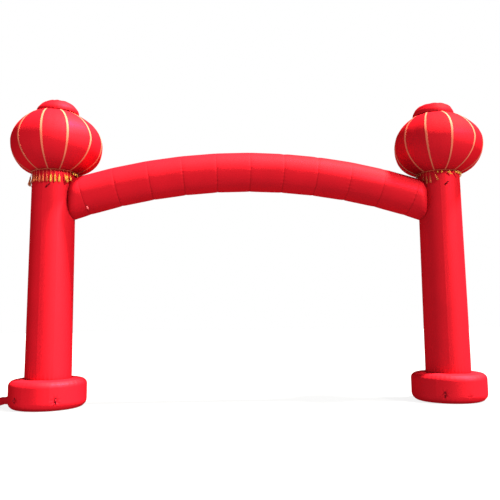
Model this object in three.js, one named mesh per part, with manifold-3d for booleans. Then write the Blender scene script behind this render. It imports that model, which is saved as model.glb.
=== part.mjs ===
// Inflatable gateway arch: two columns on round feet, a bowed cross tube between them and a ribboned
// lantern with a fringe on each column. Every air-filled piece is one solid in its blown-up shape.
// Millimetres, +Z up. The origin is the centre of the left foot's underside, +X runs to the right
// foot and -Y is the front. Azimuths are in degrees from the front, turning towards +X.
import * as THREE from "three";
import Module from "manifold-3d";
import { mergeVertices } from "three/addons/utils/BufferGeometryUtils.js";

// ---- Driving dimensions ----
const SEAT_GAP = 0.3; // between pieces that touch
const COLUMN_SPACING = 6760;

// The edge rolled under is wider than the one on top.
const FOOT = { radius: 620, height: 463, upperEdge: 100, lowerEdge: 125, edgeSteps: 5, facets: 40 };
// Waves round a foot's wall: how many there are, their share of its lumps and their turn.
const FOOT_WAVES = [
  { count: 5, share: 0.6, turn: 1 },
  { count: 8, share: 0.4, turn: 2.3 },
];
const COLUMN = { bottomRadius: 375, topRadius: 359, facets: 32 };
const LANTERN_SEAT = 3935; // height of the ring where a lantern is sewn to its column

const BEAM = {
  bowRadius: 9702, // of the tube's centreline
  crownHeight: 3969, // of the centreline at mid span
  crownShift: -30, // of the crown from mid span
  tubeRadius: 341,
  seamRadius: 336,
  seamPitch: 3.42, // degrees of bow between two mitred seams
  seamOffset: 0.2,
  seamsEachSide: 5,
  endAngle: 20.35, // where the centreline reaches a column's axis
  endSteps: 6, // extra stations over the last length at each end
  facets: 28,
};
// The tube's sides draw in where it is sewn to a column: from full width at one distance from the
// column's axis to a share of it at another.
const NECK = { fullAt: 455, narrowAt: 300, share: 0.56 };

const LANTERN = {
  gores: 12,
  radius: 766,
  equator: 4445,
  seatRadius: 388,
  collarRadius: 341,
  collarSeat: 4988,
  lowerExponent: 2.3, // of the superellipse under the equator
  upperExponent: 1.86,
  lowerRows: 6,
  upperRows: 6,
  goreCrown: 12, // how far a gore bulges past its chord at the equator
};
// Widths along a gore seam, how far the strip lies off a seam that may twist a little, and the share
// of its last length by which it stops short of the collar.
const RIBBON = { foot: 16, middle: 36, top: 26, thickness: 2, lift: 0.7, stopShort: 0.12 };
// It overhangs the gores that it is sewn to. The puckers draw it in by up to twice the share named
// here, most of all at its top.
const COLLAR = {
  overhang: 13, bulge: 10, narrowing: 0.1, facets: 24, rows: 7, puckers: 12, puckerShare: 0.014,
};

const BRAID = { width: 9, height: 14, facets: 36 };
const TASSELS_PER_GORE = 3;
const STRAND = {
  step: 4, // along it as it is laid
  bend: 0.3, // how far each step turns towards the way it hangs freely
  clearance: 3, // from the cross tube and the column
  rootHalf: 6, // the half width it keeps clear at its root
  slideOut: 0.8, // how strongly it turns away from the column where it lies on the tube
  depthShare: 0.62, // of its width, from front to back
  bunchedDepthShare: 0.8,
  refineOver: 40, // longer stretches get a station half way where they lie on the tube
};

// A strand's half width at each distance from its root.
const TASSEL = [
  { along: 0, half: 4.5 },
  { along: 86, half: 5 },
  { along: 97, half: 11 },
  { along: 150, half: 15 },
  { along: 212, half: 19 },
  { along: 222, half: 13 },
];
const BUNCHED = [
  { along: 0, half: 5 },
  { along: 14, half: 13 },
  { along: 38, half: 16 },
  { along: 52, half: 9 },
];

// How far each gore seam strays from even spacing at its foot, at the equator and at its top.
const LEFT_STRAYS = [
  { seam: 0, foot: 3, middle: 0, top: -3 },
  { seam: 1, foot: 0, middle: 1, top: 2 },
  { seam: 2, foot: -3, middle: 3, top: -1 },
  { seam: 11, foot: 4, middle: -4, top: -5 },
];
const RIGHT_STRAYS = [
  { seam: 0, foot: -1, middle: 0, top: 4 },
  { seam: 1, foot: -4, middle: 4, top: 2 },
  { seam: 10, foot: 4, middle: -2, top: -8 },
  { seam: 11, foot: 2, middle: -1, top: -5 },
];

// How the tassels hang, by azimuth: sway is degrees from plumb towards +X.
const LEFT_FRINGE = [
  { from: -180, to: -110, sway: -4, reach: 1, bunched: false },
  { from: -110, to: -60, sway: -13, reach: 1, bunched: false },
  { from: -60, to: -30, sway: 3, reach: 0.9, bunched: false },
  { from: -30, to: 32, sway: 1, reach: 1, bunched: false },
  { from: 32, to: 42, sway: 18, reach: 1, bunched: false },
  { from: 42, to: 62, sway: 2, reach: 0.95, bunched: false },
  { from: 62, to: 118, sway: 4, reach: 1, bunched: true },
  { from: 118, to: 180, sway: 2, reach: 0.95, bunched: false },
];
const RIGHT_FRINGE = [
  { from: -180, to: -118, sway: 8, reach: 0.9, bunched: false },
  { from: -118, to: -68, sway: -4, reach: 1, bunched: true },
  { from: -68, to: -38, sway: 2, reach: 1, bunched: false },
  { from: -38, to: -28, sway: 24, reach: 0.9, bunched: false },
  { from: -28, to: -8, sway: 6, reach: 1, bunched: true },
  { from: -8, to: 2, sway: 56, reach: 0.62, bunched: false },
  { from: 2, to: 12, sway: 10, reach: 1, bunched: true },
  { from: 12, to: 22, sway: 70, reach: 0.75, bunched: false },
  { from: 22, to: 104, sway: -6, reach: 1, bunched: true },
  { from: 104, to: 180, sway: 15, reach: 0.9, bunched: false },
];

// The two halves. Along X, a lantern stands off its column's axis, its belly and its crown off the
// lantern's seat, and its collar off the crown.
const SIDES = [
  {
    name: "left", columnX: 0, lanternShift: 14, bellyShift: 30, crownShift: -30, collarShift: 50,
    firstSeam: -4,
    strays: LEFT_STRAYS, fringe: LEFT_FRINGE, collarHeight: 232, collarExponent: 2.6,
    footLumps: 5, lumpPhase: 0.4,
  },
  {
    name: "right", columnX: COLUMN_SPACING, lanternShift: 4, bellyShift: 11, crownShift: -43,
    collarShift: -3, firstSeam: -3,
    strays: RIGHT_STRAYS, fringe: RIGHT_FRINGE, collarHeight: 208, collarExponent: 4,
    footLumps: 9, lumpPhase: 1.9,
  },
];

const SLEEVE = { radius: 67, wall: 3, hem: 3, hemLength: 45, hemStep: 1, flatten: 0.94, facets: 16 };
// The inflation sleeve's centreline, out from the left foot's axis, with a crease by the foot.
const SLEEVE_RUN = [
  { out: 575, height: 123, size: 1 },
  { out: 650, height: 122, size: 1 },
  { out: 690, height: 118, size: 0.86 },
  { out: 740, height: 110, size: 1 },
  { out: 800, height: 94, size: 1.02 },
  { out: 860, height: 77, size: 1 },
  { out: 910, height: 69, size: 1 },
  { out: 1090, height: 67.5, size: 1 },
];

const LOOP = { length: 96, width: 25, thickness: 2.5, stitched: 15, bow: 26, steps: 10 };
// Tie loops: turn is degrees from upright, in the cloth's plane.
const FOOT_LOOPS = [
  { name: "loop_foot_left", side: 0, azimuth: 27, height: 167, turn: 0 },
  { name: "loop_foot_left_outer", side: 0, azimuth: -36, height: 172, turn: 0 },
  { name: "loop_foot_right", side: 1, azimuth: -27, height: 158, turn: 0 },
];
const COLUMN_LOOPS = [
  { name: "loop_column_left", side: 0, azimuth: 0, height: 3650, turn: 45 },
  { name: "loop_column_right", side: 1, azimuth: 0, height: 3695, turn: 45 },
];
// Sewn beside a seam, round the tube: around is degrees from its top.
const BEAM_LOOP = { name: "loop_beam", seam: -4.95, around: 141.4, turn: 90 };

const CLOTH = { color: 0xd8142a, roughness: 0.42, metalness: 0 };
const RIBBON_CLOTH = { color: 0xf0b458, roughness: 0.45, metalness: 0 };
const FRINGE_YARN = { color: 0xe6b23c, roughness: 0.6, metalness: 0 };
const WEBBING = { color: 0xb01024, roughness: 0.7, metalness: 0 };

// ---- Helpers ----
const wasm = await Module();
wasm.setup();

const UP = new THREE.Vector3(0, 0, 1);
const DOWN = new THREE.Vector3(0, 0, -1);
const rad = THREE.MathUtils.degToRad;
const mix = THREE.MathUtils.lerp;

/** Direction from an axis outwards at an azimuth. */
function outward(azimuth) {
  return new THREE.Vector3(Math.sin(rad(azimuth)), -Math.cos(rad(azimuth)), 0);
}

/** Direction along a horizontal circle at an azimuth, as the azimuth grows. */
function along(azimuth) {
  return new THREE.Vector3(Math.cos(rad(azimuth)), Math.sin(rad(azimuth)), 0);
}

/** A closed solid through rings of points that turn anticlockwise about the way they follow. */
function loft(rings) {
  const count = rings[0].length;
  const points = rings.flat();
  const index = [];
  for (let ring = 0; ring < rings.length - 1; ring++) {
    for (let side = 0; side < count; side++) {
      const next = (side + 1) % count;
      const a = ring * count + side;
      const b = ring * count + next;
      index.push(a, b, b + count, a, b + count, a + count);
    }
  }
  const last = (rings.length - 1) * count;
  for (let side = 1; side < count - 1; side++) {
    index.push(0, side + 1, side, last, last + side, last + side + 1);
  }
  const geometry = new THREE.BufferGeometry().setFromPoints(points);
  geometry.setIndex(index);
  return geometry;
}

/** A pipe open at both ends: an outer and an inner set of rings joined by two rims. */
function loftPipe(outerRings, innerRings) {
  const loop = [...outerRings, ...[...innerRings].reverse()];
  const count = loop[0].length;
  const index = [];
  loop.forEach((_, ring) => {
    const following = (ring + 1) % loop.length;
    for (let side = 0; side < count; side++) {
      const next = (side + 1) % count;
      const [a, b] = [ring * count + side, ring * count + next];
      const [c, d] = [following * count + next, following * count + side];
      index.push(a, b, c, a, c, d);
    }
  });
  const geometry = new THREE.BufferGeometry().setFromPoints(loop.flat());
  geometry.setIndex(index);
  return geometry;
}

/** Applies change(point) to every vertex. */
function reshape(geometry, change) {
  const position = geometry.attributes.position;
  const point = new THREE.Vector3();
  for (let i = 0; i < position.count; i++) {
    change(point.fromBufferAttribute(position, i));
    position.setXYZ(i, point.x, point.y, point.z);
  }
  return geometry;
}

/** A lathe about +Z from rows of [radius, height]. */
function lathe(profile, facets) {
  const outline = profile.map(([radius, height]) => new THREE.Vector2(radius, height));
  return new THREE.LatheGeometry(outline, facets).rotateX(Math.PI / 2);
}

function toManifold(geometry) {
  const plain = geometry.clone();
  plain.deleteAttribute("normal");
  plain.deleteAttribute("uv");
  const merged = mergeVertices(plain, 1e-3);
  const solid = { numProp: 3, vertProperties: merged.attributes.position.array };
  return new wasm.Manifold(new wasm.Mesh({ ...solid, triVerts: Uint32Array.from(merged.index.array) }));
}

function fromManifold(manifold) {
  const mesh = manifold.getMesh();
  const geometry = new THREE.BufferGeometry();
  geometry.setAttribute("position", new THREE.BufferAttribute(mesh.vertProperties, 3));
  geometry.setIndex(new THREE.BufferAttribute(mesh.triVerts, 1));
  return geometry;
}

function piece(name, geometry, finish) {
  geometry.computeVertexNormals();
  const mesh = new THREE.Mesh(geometry, new THREE.MeshStandardMaterial(finish));
  mesh.name = name;
  return mesh;
}

// ---- Feet ----
/** Outline of a foot drum: flat faces and rolled edges, let out all round by extra. */
function footProfile(extra = 0) {
  const { radius, height, upperEdge, lowerEdge, edgeSteps } = FOOT;
  const rolled = (edge) => Array.from({ length: edgeSteps + 1 }, (_, step) => {
    const turn = (Math.PI / 2) * (step / edgeSteps);
    return [radius - edge + (edge + extra) * Math.sin(turn), edge - (edge + extra) * Math.cos(turn)];
  });
  const upper = rolled(upperEdge).reverse().map(([r, z]) => [r, height - z]);
  return [[0, -extra], ...rolled(lowerEdge), ...upper, [0, height + extra]];
}

/** Side panels that bulge unevenly: two waves round the drum, fading out over the rolled edges. */
function lumpyFoot(side, extra = 0) {
  const { radius, height, upperEdge, lowerEdge, facets } = FOOT;
  return reshape(lathe(footProfile(extra), facets).rotateZ(Math.PI / facets), (point) => {
    const reach = Math.hypot(point.x, point.y);
    if (reach < radius - lowerEdge + 1) return;
    const turn = Math.atan2(point.y, point.x);
    const wave = FOOT_WAVES.reduce(
      (sum, row) => sum + row.share * Math.sin(row.count * turn + row.turn * side.lumpPhase), 0,
    );
    const fromFace = Math.min(point.z / lowerEdge, (height - point.z) / upperEdge);
    const fade = Math.sin((Math.PI / 2) * THREE.MathUtils.clamp(fromFace, 0, 1));
    const grown = (reach + side.footLumps * wave * fade) / reach;
    point.x *= grown;
    point.y *= grown;
  });
}

// ---- Columns ----
/** A tapered tube from the foot to the lantern's seat, let out all round by extra. */
function columnTube(extra = 0) {
  const { bottomRadius, topRadius, facets } = COLUMN;
  const bottom = FOOT.height + SEAT_GAP - extra;
  const top = LANTERN_SEAT - SEAT_GAP + extra;
  const rows = [[0, bottom], [bottomRadius + extra, bottom], [topRadius + extra, top], [0, top]];
  return lathe(rows, facets).rotateZ(Math.PI / facets);
}

// ---- Cross tube ----
/** Centre of the bow that the cross tube's centreline follows. */
const BOW_CENTRE = new THREE.Vector3(
  COLUMN_SPACING / 2 + BEAM.crownShift, 0, BEAM.crownHeight - BEAM.bowRadius,
);

function bowPoint(angle, radius = BEAM.bowRadius) {
  const x = BOW_CENTRE.x + radius * Math.sin(rad(angle));
  return new THREE.Vector3(x, 0, BOW_CENTRE.z + radius * Math.cos(rad(angle)));
}

/** How much of its width the tube has at a place along X. */
function neckShare(x) {
  const fromColumn = Math.min(Math.abs(x), Math.abs(COLUMN_SPACING - x));
  const part = (fromColumn - NECK.narrowAt) / (NECK.fullAt - NECK.narrowAt);
  const rounded = Math.sqrt(1 - (1 - THREE.MathUtils.clamp(part, 0, 1)) ** 2);
  return mix(NECK.share, 1, rounded);
}

/** Stations of the tube: a drawn-in seam at each mitre and a full round between two seams. */
function beamStations() {
  const { seamPitch, seamOffset, seamsEachSide, endAngle, endSteps, tubeRadius, seamRadius } = BEAM;
  const seams = [];
  for (let k = -seamsEachSide; k <= seamsEachSide; k++) seams.push(seamOffset + k * seamPitch);
  const marks = [-endAngle, ...seams, endAngle];
  const stations = [];
  marks.forEach((angle, i) => {
    const isEnd = i === 0 || i === marks.length - 1;
    stations.push({ angle, centre: bowPoint(angle), radius: isEnd ? tubeRadius : seamRadius });
    if (i === marks.length - 1) return;
    const parts = i === 0 || i === marks.length - 2 ? endSteps : 2;
    for (let step = 1; step < parts; step++) {
      const centre = bowPoint(angle).lerp(bowPoint(marks[i + 1]), step / parts); // straight between seams
      stations.push({ angle: mix(angle, marks[i + 1], step / parts), centre, radius: tubeRadius });
    }
  });
  return stations;
}

function beamTube() {
  const rings = beamStations().map(({ angle, centre, radius }) => {
    const rise = new THREE.Vector3(Math.sin(rad(angle)), 0, Math.cos(rad(angle)));
    const ring = [];
    for (let i = 0; i < BEAM.facets; i++) {
      const turn = (2 * Math.PI * (i + 0.5)) / BEAM.facets;
      const back = new THREE.Vector3(0, radius * Math.cos(turn), 0);
      ring.push(centre.clone().add(back).addScaledVector(rise, radius * Math.sin(turn)));
    }
    return ring;
  });
  return reshape(loft(rings), (point) => point.setY(point.y * neckShare(point.x)));
}

/** The tube between the columns, each end cut to fit round its column. */
function beamGeometry() {
  let tube = toManifold(beamTube());
  for (const side of SIDES) {
    const cutter = columnTube(SEAT_GAP).translate(side.columnX, 0, 0);
    tube = tube.subtract(toManifold(cutter));
  }
  return fromManifold(tube);
}

// ---- Lanterns ----
/** Rows of a gore seam: radius, height and part, which runs from 0 at the seat to 1 to 2 at the collar. */
function seamRows() {
  const { radius, equator, seatRadius, collarRadius, collarSeat, lowerRows, upperRows } = LANTERN;
  const curve = (exponent, endRadius, endHeight, rows) => {
    const end = Math.acos((endRadius / radius) ** (exponent / 2));
    const depth = (endHeight - equator) / Math.sin(end) ** (2 / exponent);
    return Array.from({ length: rows + 1 }, (_, row) => {
      const turn = (end * row) / rows;
      return {
        radius: radius * Math.cos(turn) ** (2 / exponent),
        height: equator + depth * Math.sin(turn) ** (2 / exponent),
        part: row / rows,
      };
    });
  };
  const lower = curve(LANTERN.lowerExponent, seatRadius, LANTERN_SEAT, lowerRows).reverse();
  const upper = curve(LANTERN.upperExponent, collarRadius, collarSeat, upperRows).slice(1);
  return [
    ...lower.map((row) => ({ ...row, part: 1 - row.part })),
    ...upper.map((row) => ({ ...row, part: 1 + row.part })),
  ];
}
const SEAM_ROWS = seamRows();

/** A value that runs from foot through middle to top as part goes from 0 to 2. */
function alongSeam({ foot, middle, top }, part) {
  return part < 1 ? mix(foot, middle, part) : mix(middle, top, part - 1);
}

function seamAzimuth(side, seam, part) {
  const wrapped = ((seam % LANTERN.gores) + LANTERN.gores) % LANTERN.gores;
  const stray = side.strays.find((row) => row.seam === wrapped) ?? { foot: 0, middle: 0, top: 0 };
  return side.firstSeam + (360 / LANTERN.gores) * seam + alongSeam(stray, part);
}

/** How far a row of the lantern stands off along X: from its seat out to the belly, then to the crown. */
function leanOffset(side, part) {
  const belly = side.bellyShift * Math.sin((Math.PI / 2) * Math.min(1, part));
  const above = Math.max(0, part - 1) ** 2;
  return mix(belly, side.crownShift, above);
}

/** Twelve gores: each seam has a flat strip under its ribbon and each gore a slight crown. */
function lanternGeometry(side) {
  const rings = SEAM_ROWS.map(({ radius, height, part }) => {
    const ring = [];
    const half = alongSeam(RIBBON, part) / 2;
    for (let seam = 0; seam < LANTERN.gores; seam++) {
      const here = seamAzimuth(side, seam, part);
      const next = seamAzimuth(side, seam + 1, part);
      const seat = outward(here).multiplyScalar(radius).setZ(height);
      ring.push(seat.clone().addScaledVector(along(here), -half));
      ring.push(seat.clone().addScaledVector(along(here), half));
      const chord = radius * Math.cos(rad((next - here) / 2)) + half * Math.sin(rad((next - here) / 2));
      const crown = (LANTERN.goreCrown * radius) / LANTERN.radius;
      ring.push(outward((here + next) / 2).multiplyScalar(chord + crown).setZ(height));
    }
    ring.forEach((point) => point.setX(point.x + leanOffset(side, part)));
    return ring;
  });
  return loft(rings);
}

/** A ribbon sewn on a gore seam, a flat strip that follows the seam's rows. */
function ribbonGeometry(side, seam) {
  const last = SEAM_ROWS.length - 1;
  const slopeNormal = (from, to) => {
    const outwards = SEAM_ROWS[to].radius - SEAM_ROWS[from].radius;
    const upwards = SEAM_ROWS[to].height - SEAM_ROWS[from].height;
    return new THREE.Vector2(upwards, -outwards).normalize();
  };
  const rings = SEAM_ROWS.map(({ radius, height, part }, row) => {
    const azimuth = seamAzimuth(side, seam, part);
    const before = slopeNormal(Math.max(row - 1, 0), Math.max(row, 1));
    const after = slopeNormal(Math.min(row, last - 1), Math.min(row + 1, last));
    const middle = before.clone().add(after).normalize();
    const mitre = 1 / middle.dot(before);
    const half = alongSeam(RIBBON, part) / 2;
    const corner = (across, off) => outward(azimuth)
      .multiplyScalar(radius + middle.x * off * mitre)
      .addScaledVector(along(azimuth), across)
      .add(new THREE.Vector3(leanOffset(side, part), 0, height + middle.y * off * mitre));
    const [under, over] = [RIBBON.lift, RIBBON.lift + RIBBON.thickness];
    return [corner(-half, over), corner(half, over), corner(half, under), corner(-half, under)];
  });
  const [top, below] = [rings[last], rings[last - 1]];
  top.forEach((point, i) => point.lerp(below[i], RIBBON.stopShort));
  return loft(rings);
}

/** A short puffed collar: a superellipse of revolution that narrows upwards, drawn in by puckers. */
function collarGeometry(side) {
  const { overhang, bulge, narrowing, facets, rows, puckers, puckerShare } = COLLAR;
  const base = LANTERN.collarRadius + overhang;
  const { collarHeight: height, collarExponent: exponent } = side;
  const profile = [[0, 0]];
  for (let row = 0; row <= rows; row++) {
    const rise = Math.sin((Math.PI / 2) * (row / rows));
    const full = (1 - rise ** exponent) ** (1 / exponent);
    const swell = bulge * Math.sin(Math.PI * Math.min(1, 2 * rise));
    profile.push([(base * (1 - narrowing * rise) + swell) * full, height * rise]);
  }
  return reshape(lathe(profile, facets), (point) => {
    const pucker = 1 + Math.cos(puckers * Math.atan2(point.y, point.x));
    const drawn = 1 - puckerShare * pucker * (point.z / height) ** 2;
    point.x *= drawn;
    point.y *= drawn;
  });
}

// ---- Fringe ----
/** Pushes a point out of the cross tube until it is clear of it by a distance. */
function clearOfBeam(point, clearance) {
  const share = neckShare(point.x);
  point.y /= share;
  const spoke = new THREE.Vector3(point.x - BOW_CENTRE.x, 0, point.z - BOW_CENTRE.z);
  const centre = BOW_CENTRE.clone().addScaledVector(spoke.normalize(), BEAM.bowRadius);
  const normal = point.clone().sub(centre);
  const reach = BEAM.tubeRadius + clearance;
  const isClear = normal.length() >= reach;
  normal.normalize();
  if (!isClear) point.copy(centre).addScaledVector(normal, reach);
  point.y *= share;
  return isClear ? null : normal.setY(normal.y / share).normalize();
}

/** Pushes a point out of a column until it is clear of it by a distance. */
function clearOfColumn(point, columnX, clearance) {
  const reach = COLUMN.topRadius + clearance;
  const away = Math.hypot(point.x - columnX, point.y);
  if (away >= reach) return;
  point.x = columnX + ((point.x - columnX) * reach) / away;
  point.y *= reach / away;
}

/** Where a strand lies, step by step: plumb or swaying in the air, laid along the cross tube or column. */
function strandPath(root, azimuth, columnX, sway, length) {
  const { step, bend, clearance, rootHalf, slideOut } = STRAND;
  const free = DOWN.clone().applyAxisAngle(new THREE.Vector3(0, -1, 0), rad(sway));
  const path = [root.clone()];
  const direction = DOWN.clone();
  const widest = Math.max(...TASSEL.map((row) => row.half));
  while (path.length * step < length + 2 * step) {
    const before = path[path.length - 1];
    const half = mix(rootHalf, widest, Math.min(1, (path.length * step) / length));
    direction.lerp(free, bend).normalize();
    const point = before.clone().addScaledVector(direction, step);
    const normal = clearOfBeam(point, clearance + half * Math.SQRT2);
    if (normal) {
      const slide = DOWN.clone().addScaledVector(outward(azimuth), slideOut).projectOnPlane(normal);
      direction.copy(slide.normalize());
      point.copy(before).addScaledVector(direction, step);
      clearOfBeam(point, clearance + half * Math.SQRT2);
    }
    clearOfColumn(point, columnX, clearance + half);
    path.push(point);
  }
  return path;
}

/** A four-sided strand along its path, as wide at each station as its table says. */
function strandGeometry(root, azimuth, columnX, { sway, reach, bunched }, stations) {
  const length = stations[stations.length - 1].along * reach;
  const path = strandPath(root, azimuth, columnX, sway, length);
  const depthShare = bunched ? STRAND.bunchedDepthShare : STRAND.depthShare;
  const rings = stations.map((station) => {
    const steps = (station.along * reach) / STRAND.step;
    const step = Math.min(path.length - 2, Math.floor(steps));
    const part = steps - step;
    const centre = path[step].clone().lerp(path[step + 1], part);
    const way = path[step + 1].clone().sub(path[Math.max(0, step - 1)]).normalize();
    const across = along(azimuth).projectOnPlane(way).normalize();
    const through = new THREE.Vector3().crossVectors(way, across);
    const corner = (a, b) => centre.clone()
      .addScaledVector(across, a * station.half)
      .addScaledVector(through, b * station.half * depthShare);
    return [corner(-1, -1), corner(1, -1), corner(1, 1), corner(-1, 1)];
  });
  return loft(rings);
}

/** More stations, so that a strand can bend over the tube. */
function refined(stations) {
  return stations.flatMap((station, i) => {
    if (i === 0) return [station];
    const before = stations[i - 1];
    if (station.along - before.along <= STRAND.refineOver) return [station];
    const halfWay = { along: (before.along + station.along) / 2, half: (before.half + station.half) / 2 };
    return [halfWay, station];
  });
}

/** The ring of braid under a lantern with its tassels, joined to one solid about the lantern's seat. */
function fringeGeometry(side, seat) {
  const centreRadius = LANTERN.seatRadius - BRAID.width / 2;
  const top = -SEAT_GAP;
  const bottom = top - BRAID.height;
  const [inner, outer] = [centreRadius - BRAID.width / 2, centreRadius + BRAID.width / 2];
  const section = [[inner, bottom], [outer, bottom], [outer, top], [inner, top], [inner, bottom]];
  const ringTurn = rad(side.firstSeam);
  let fringe = toManifold(lathe(section, BRAID.facets).rotateZ(ringTurn));
  const count = LANTERN.gores * TASSELS_PER_GORE;
  for (let j = 0; j < count; j++) {
    const turned = side.firstSeam + (360 / count) * j;
    const azimuth = THREE.MathUtils.euclideanModulo(turned + 180, 360) - 180;
    const hang = side.fringe.find((row) => azimuth >= row.from && azimuth < row.to);
    const root = outward(azimuth).multiplyScalar(centreRadius).setZ((top + bottom) / 2).add(seat);
    const overBeam = side.columnX ? root.x < side.columnX : root.x > 0;
    const stations = hang.bunched ? BUNCHED : TASSEL;
    const laid = overBeam ? refined(stations) : stations;
    const strand = strandGeometry(root, azimuth, side.columnX, hang, laid);
    fringe = fringe.add(toManifold(strand.translate(...seat.clone().negate())));
  }
  return fromManifold(fringe);
}

/** A lantern, its collar, ribbons and fringe, in one group on the lantern's seat. */
function lanternGroup(side) {
  const group = new THREE.Group();
  group.position.set(side.columnX + side.lanternShift, 0, LANTERN_SEAT);
  const lowered = (geometry) => geometry.translate(0, 0, -LANTERN_SEAT);
  group.add(piece(`lantern_${side.name}`, lowered(lanternGeometry(side)), CLOTH));
  const collar = piece(`collar_${side.name}`, collarGeometry(side), CLOTH);
  collar.position.set(side.crownShift + side.collarShift, 0, LANTERN.collarSeat - LANTERN_SEAT + SEAT_GAP);
  group.add(collar);
  for (let seam = 0; seam < LANTERN.gores; seam++) {
    const name = `ribbon_${side.name}_${String(seam + 1).padStart(2, "0")}`;
    group.add(piece(name, lowered(ribbonGeometry(side, seam)), RIBBON_CLOTH));
  }
  group.add(piece(`fringe_${side.name}`, fringeGeometry(side, group.position), FRINGE_YARN));
  return group;
}

// ---- Inflation sleeve ----
/** Rings of the sleeve, let out by extra, each upright to its run; the mouth's hem is thicker. */
function sleeveRings(extra) {
  const mouth = SLEEVE_RUN[SLEEVE_RUN.length - 1];
  const hemStart = { ...mouth, out: mouth.out - SLEEVE.hemLength };
  const run = [
    ...SLEEVE_RUN.slice(0, -1).map((row) => ({ ...row, hem: 0 })),
    { ...hemStart, hem: 0 },
    { ...hemStart, out: hemStart.out + SLEEVE.hemStep, hem: SLEEVE.hem },
    { ...mouth, hem: SLEEVE.hem },
  ];
  return run.map(({ out, height, size, hem }) => {
    const radius = SLEEVE.radius * size + extra + (extra ? hem : 0);
    const ring = [];
    for (let i = 0; i < SLEEVE.facets; i++) {
      const turn = (2 * Math.PI * (i + 0.5)) / SLEEVE.facets;
      const drop = -radius * SLEEVE.flatten * Math.cos(turn);
      ring.push(new THREE.Vector3(-out, -radius * Math.sin(turn), height + drop));
    }
    return ring;
  });
}

/** A hollow cloth tube from the foot's wall to an open, hemmed mouth. */
function sleeveGeometry() {
  const pipe = toManifold(loftPipe(sleeveRings(SLEEVE.wall), sleeveRings(0)));
  const foot = toManifold(lumpyFoot(SIDES[0], SEAT_GAP));
  return fromManifold(pipe.subtract(foot));
}

// ---- Tie loops ----
/** A webbing strap along +Y, stitched down at both ends and bowed out along +Z between them. */
function loopGeometry() {
  const { length, width, thickness, stitched, bow, steps } = LOOP;
  const half = length / 2;
  const rise = (s) => {
    const open = half - stitched;
    return Math.abs(s) > open ? 0 : bow * Math.cos((Math.PI / 2) * (s / open)) ** 2;
  };
  const places = [-half];
  for (let step = 0; step <= steps; step++) places.push((half - stitched) * (-1 + (2 * step) / steps));
  places.push(half);
  const under = places.map((s) => new THREE.Vector2(s, SEAT_GAP + rise(s)));
  const over = places.map((s) => new THREE.Vector2(s, SEAT_GAP + thickness + rise(s))).reverse();
  const strap = new THREE.ExtrudeGeometry(new THREE.Shape([...under, ...over]), {
    depth: width, bevelEnabled: false,
  });
  return strap.translate(0, 0, -width / 2).rotateX(Math.PI / 2).rotateZ(Math.PI / 2);
}

/** Seats a loop on flat cloth at a point, with its off axis along the normal and turned in that plane. */
function seatedLoop(name, point, normal, upright, turn) {
  const loop = piece(name, loopGeometry(), WEBBING);
  const lengthwise = upright.clone().projectOnPlane(normal).normalize().applyAxisAngle(normal, -rad(turn));
  const sideways = new THREE.Vector3().crossVectors(lengthwise, normal);
  loop.quaternion.setFromRotationMatrix(new THREE.Matrix4().makeBasis(sideways, lengthwise, normal));
  loop.position.copy(point);
  return loop;
}

/** The middle and normal of the flat of a lumpy foot or a column that faces an azimuth. */
function flatOn(geometry, axisX, azimuth, height) {
  const ray = new THREE.Raycaster();
  const target = new THREE.Mesh(geometry, new THREE.MeshStandardMaterial());
  const away = outward(azimuth).multiplyScalar(2 * FOOT.radius).setZ(height);
  ray.set(away, outward(azimuth).negate());
  const hit = ray.intersectObject(target)[0];
  return { point: hit.point.setX(hit.point.x + axisX), normal: hit.face.normal.clone() };
}

function beamLoop() {
  const angle = BEAM.seamOffset + BEAM.seamPitch * BEAM_LOOP.seam;
  const turn = rad(BEAM_LOOP.around);
  const rise = new THREE.Vector3(Math.sin(rad(angle)), 0, Math.cos(rad(angle)));
  const start = bowPoint(angle).addScaledVector(rise, Math.cos(turn) * 2 * BEAM.tubeRadius);
  start.y -= Math.sin(turn) * 2 * BEAM.tubeRadius;
  const inwards = bowPoint(angle).sub(start).normalize();
  const ray = new THREE.Raycaster(start, inwards);
  const hit = ray.intersectObject(new THREE.Mesh(beamTube(), new THREE.MeshStandardMaterial()))[0];
  const lengthwise = new THREE.Vector3(rise.z, 0, -rise.x);
  return seatedLoop(BEAM_LOOP.name, hit.point, hit.face.normal.clone(), lengthwise, BEAM_LOOP.turn);
}

// ---- The whole arch ----
const arch = new THREE.Group();
for (const side of SIDES) {
  const foot = piece(`base_${side.name}`, lumpyFoot(side), CLOTH);
  const column = piece(`column_${side.name}`, columnTube(), CLOTH);
  foot.position.x = side.columnX;
  column.position.x = side.columnX;
  arch.add(foot, column, lanternGroup(side));
}
arch.add(piece("arch_beam", beamGeometry(), CLOTH));
arch.add(piece("blower_sleeve", sleeveGeometry(), CLOTH));

for (const { name, side, azimuth, height, turn } of FOOT_LOOPS) {
  const { point, normal } = flatOn(lumpyFoot(SIDES[side]), SIDES[side].columnX, azimuth, height);
  arch.add(seatedLoop(name, point, normal, UP, turn));
}
for (const { name, side, azimuth, height, turn } of COLUMN_LOOPS) {
  const { point, normal } = flatOn(columnTube(), SIDES[side].columnX, azimuth, height);
  arch.add(seatedLoop(name, point, normal, UP, turn));
}
arch.add(beamLoop());

export default arch;
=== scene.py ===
"""Dresses an inflatable gateway arch: cloth tubes, lanterns, ribbons, fringes, sleeve and tie loops.

Metres, +Z up. The origin is the middle of the left foot's underside, +X runs to the right foot and
-Y is the front. Azimuths are from the front, turning towards +X: in degrees where a field holds one, and
in radians inside the functions.
"""

import logging
import math
from collections.abc import Sequence
from dataclasses import astuple, dataclass
from enum import Enum

import bmesh
import bpy
import numpy as np
from mathutils import Matrix, Vector


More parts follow.
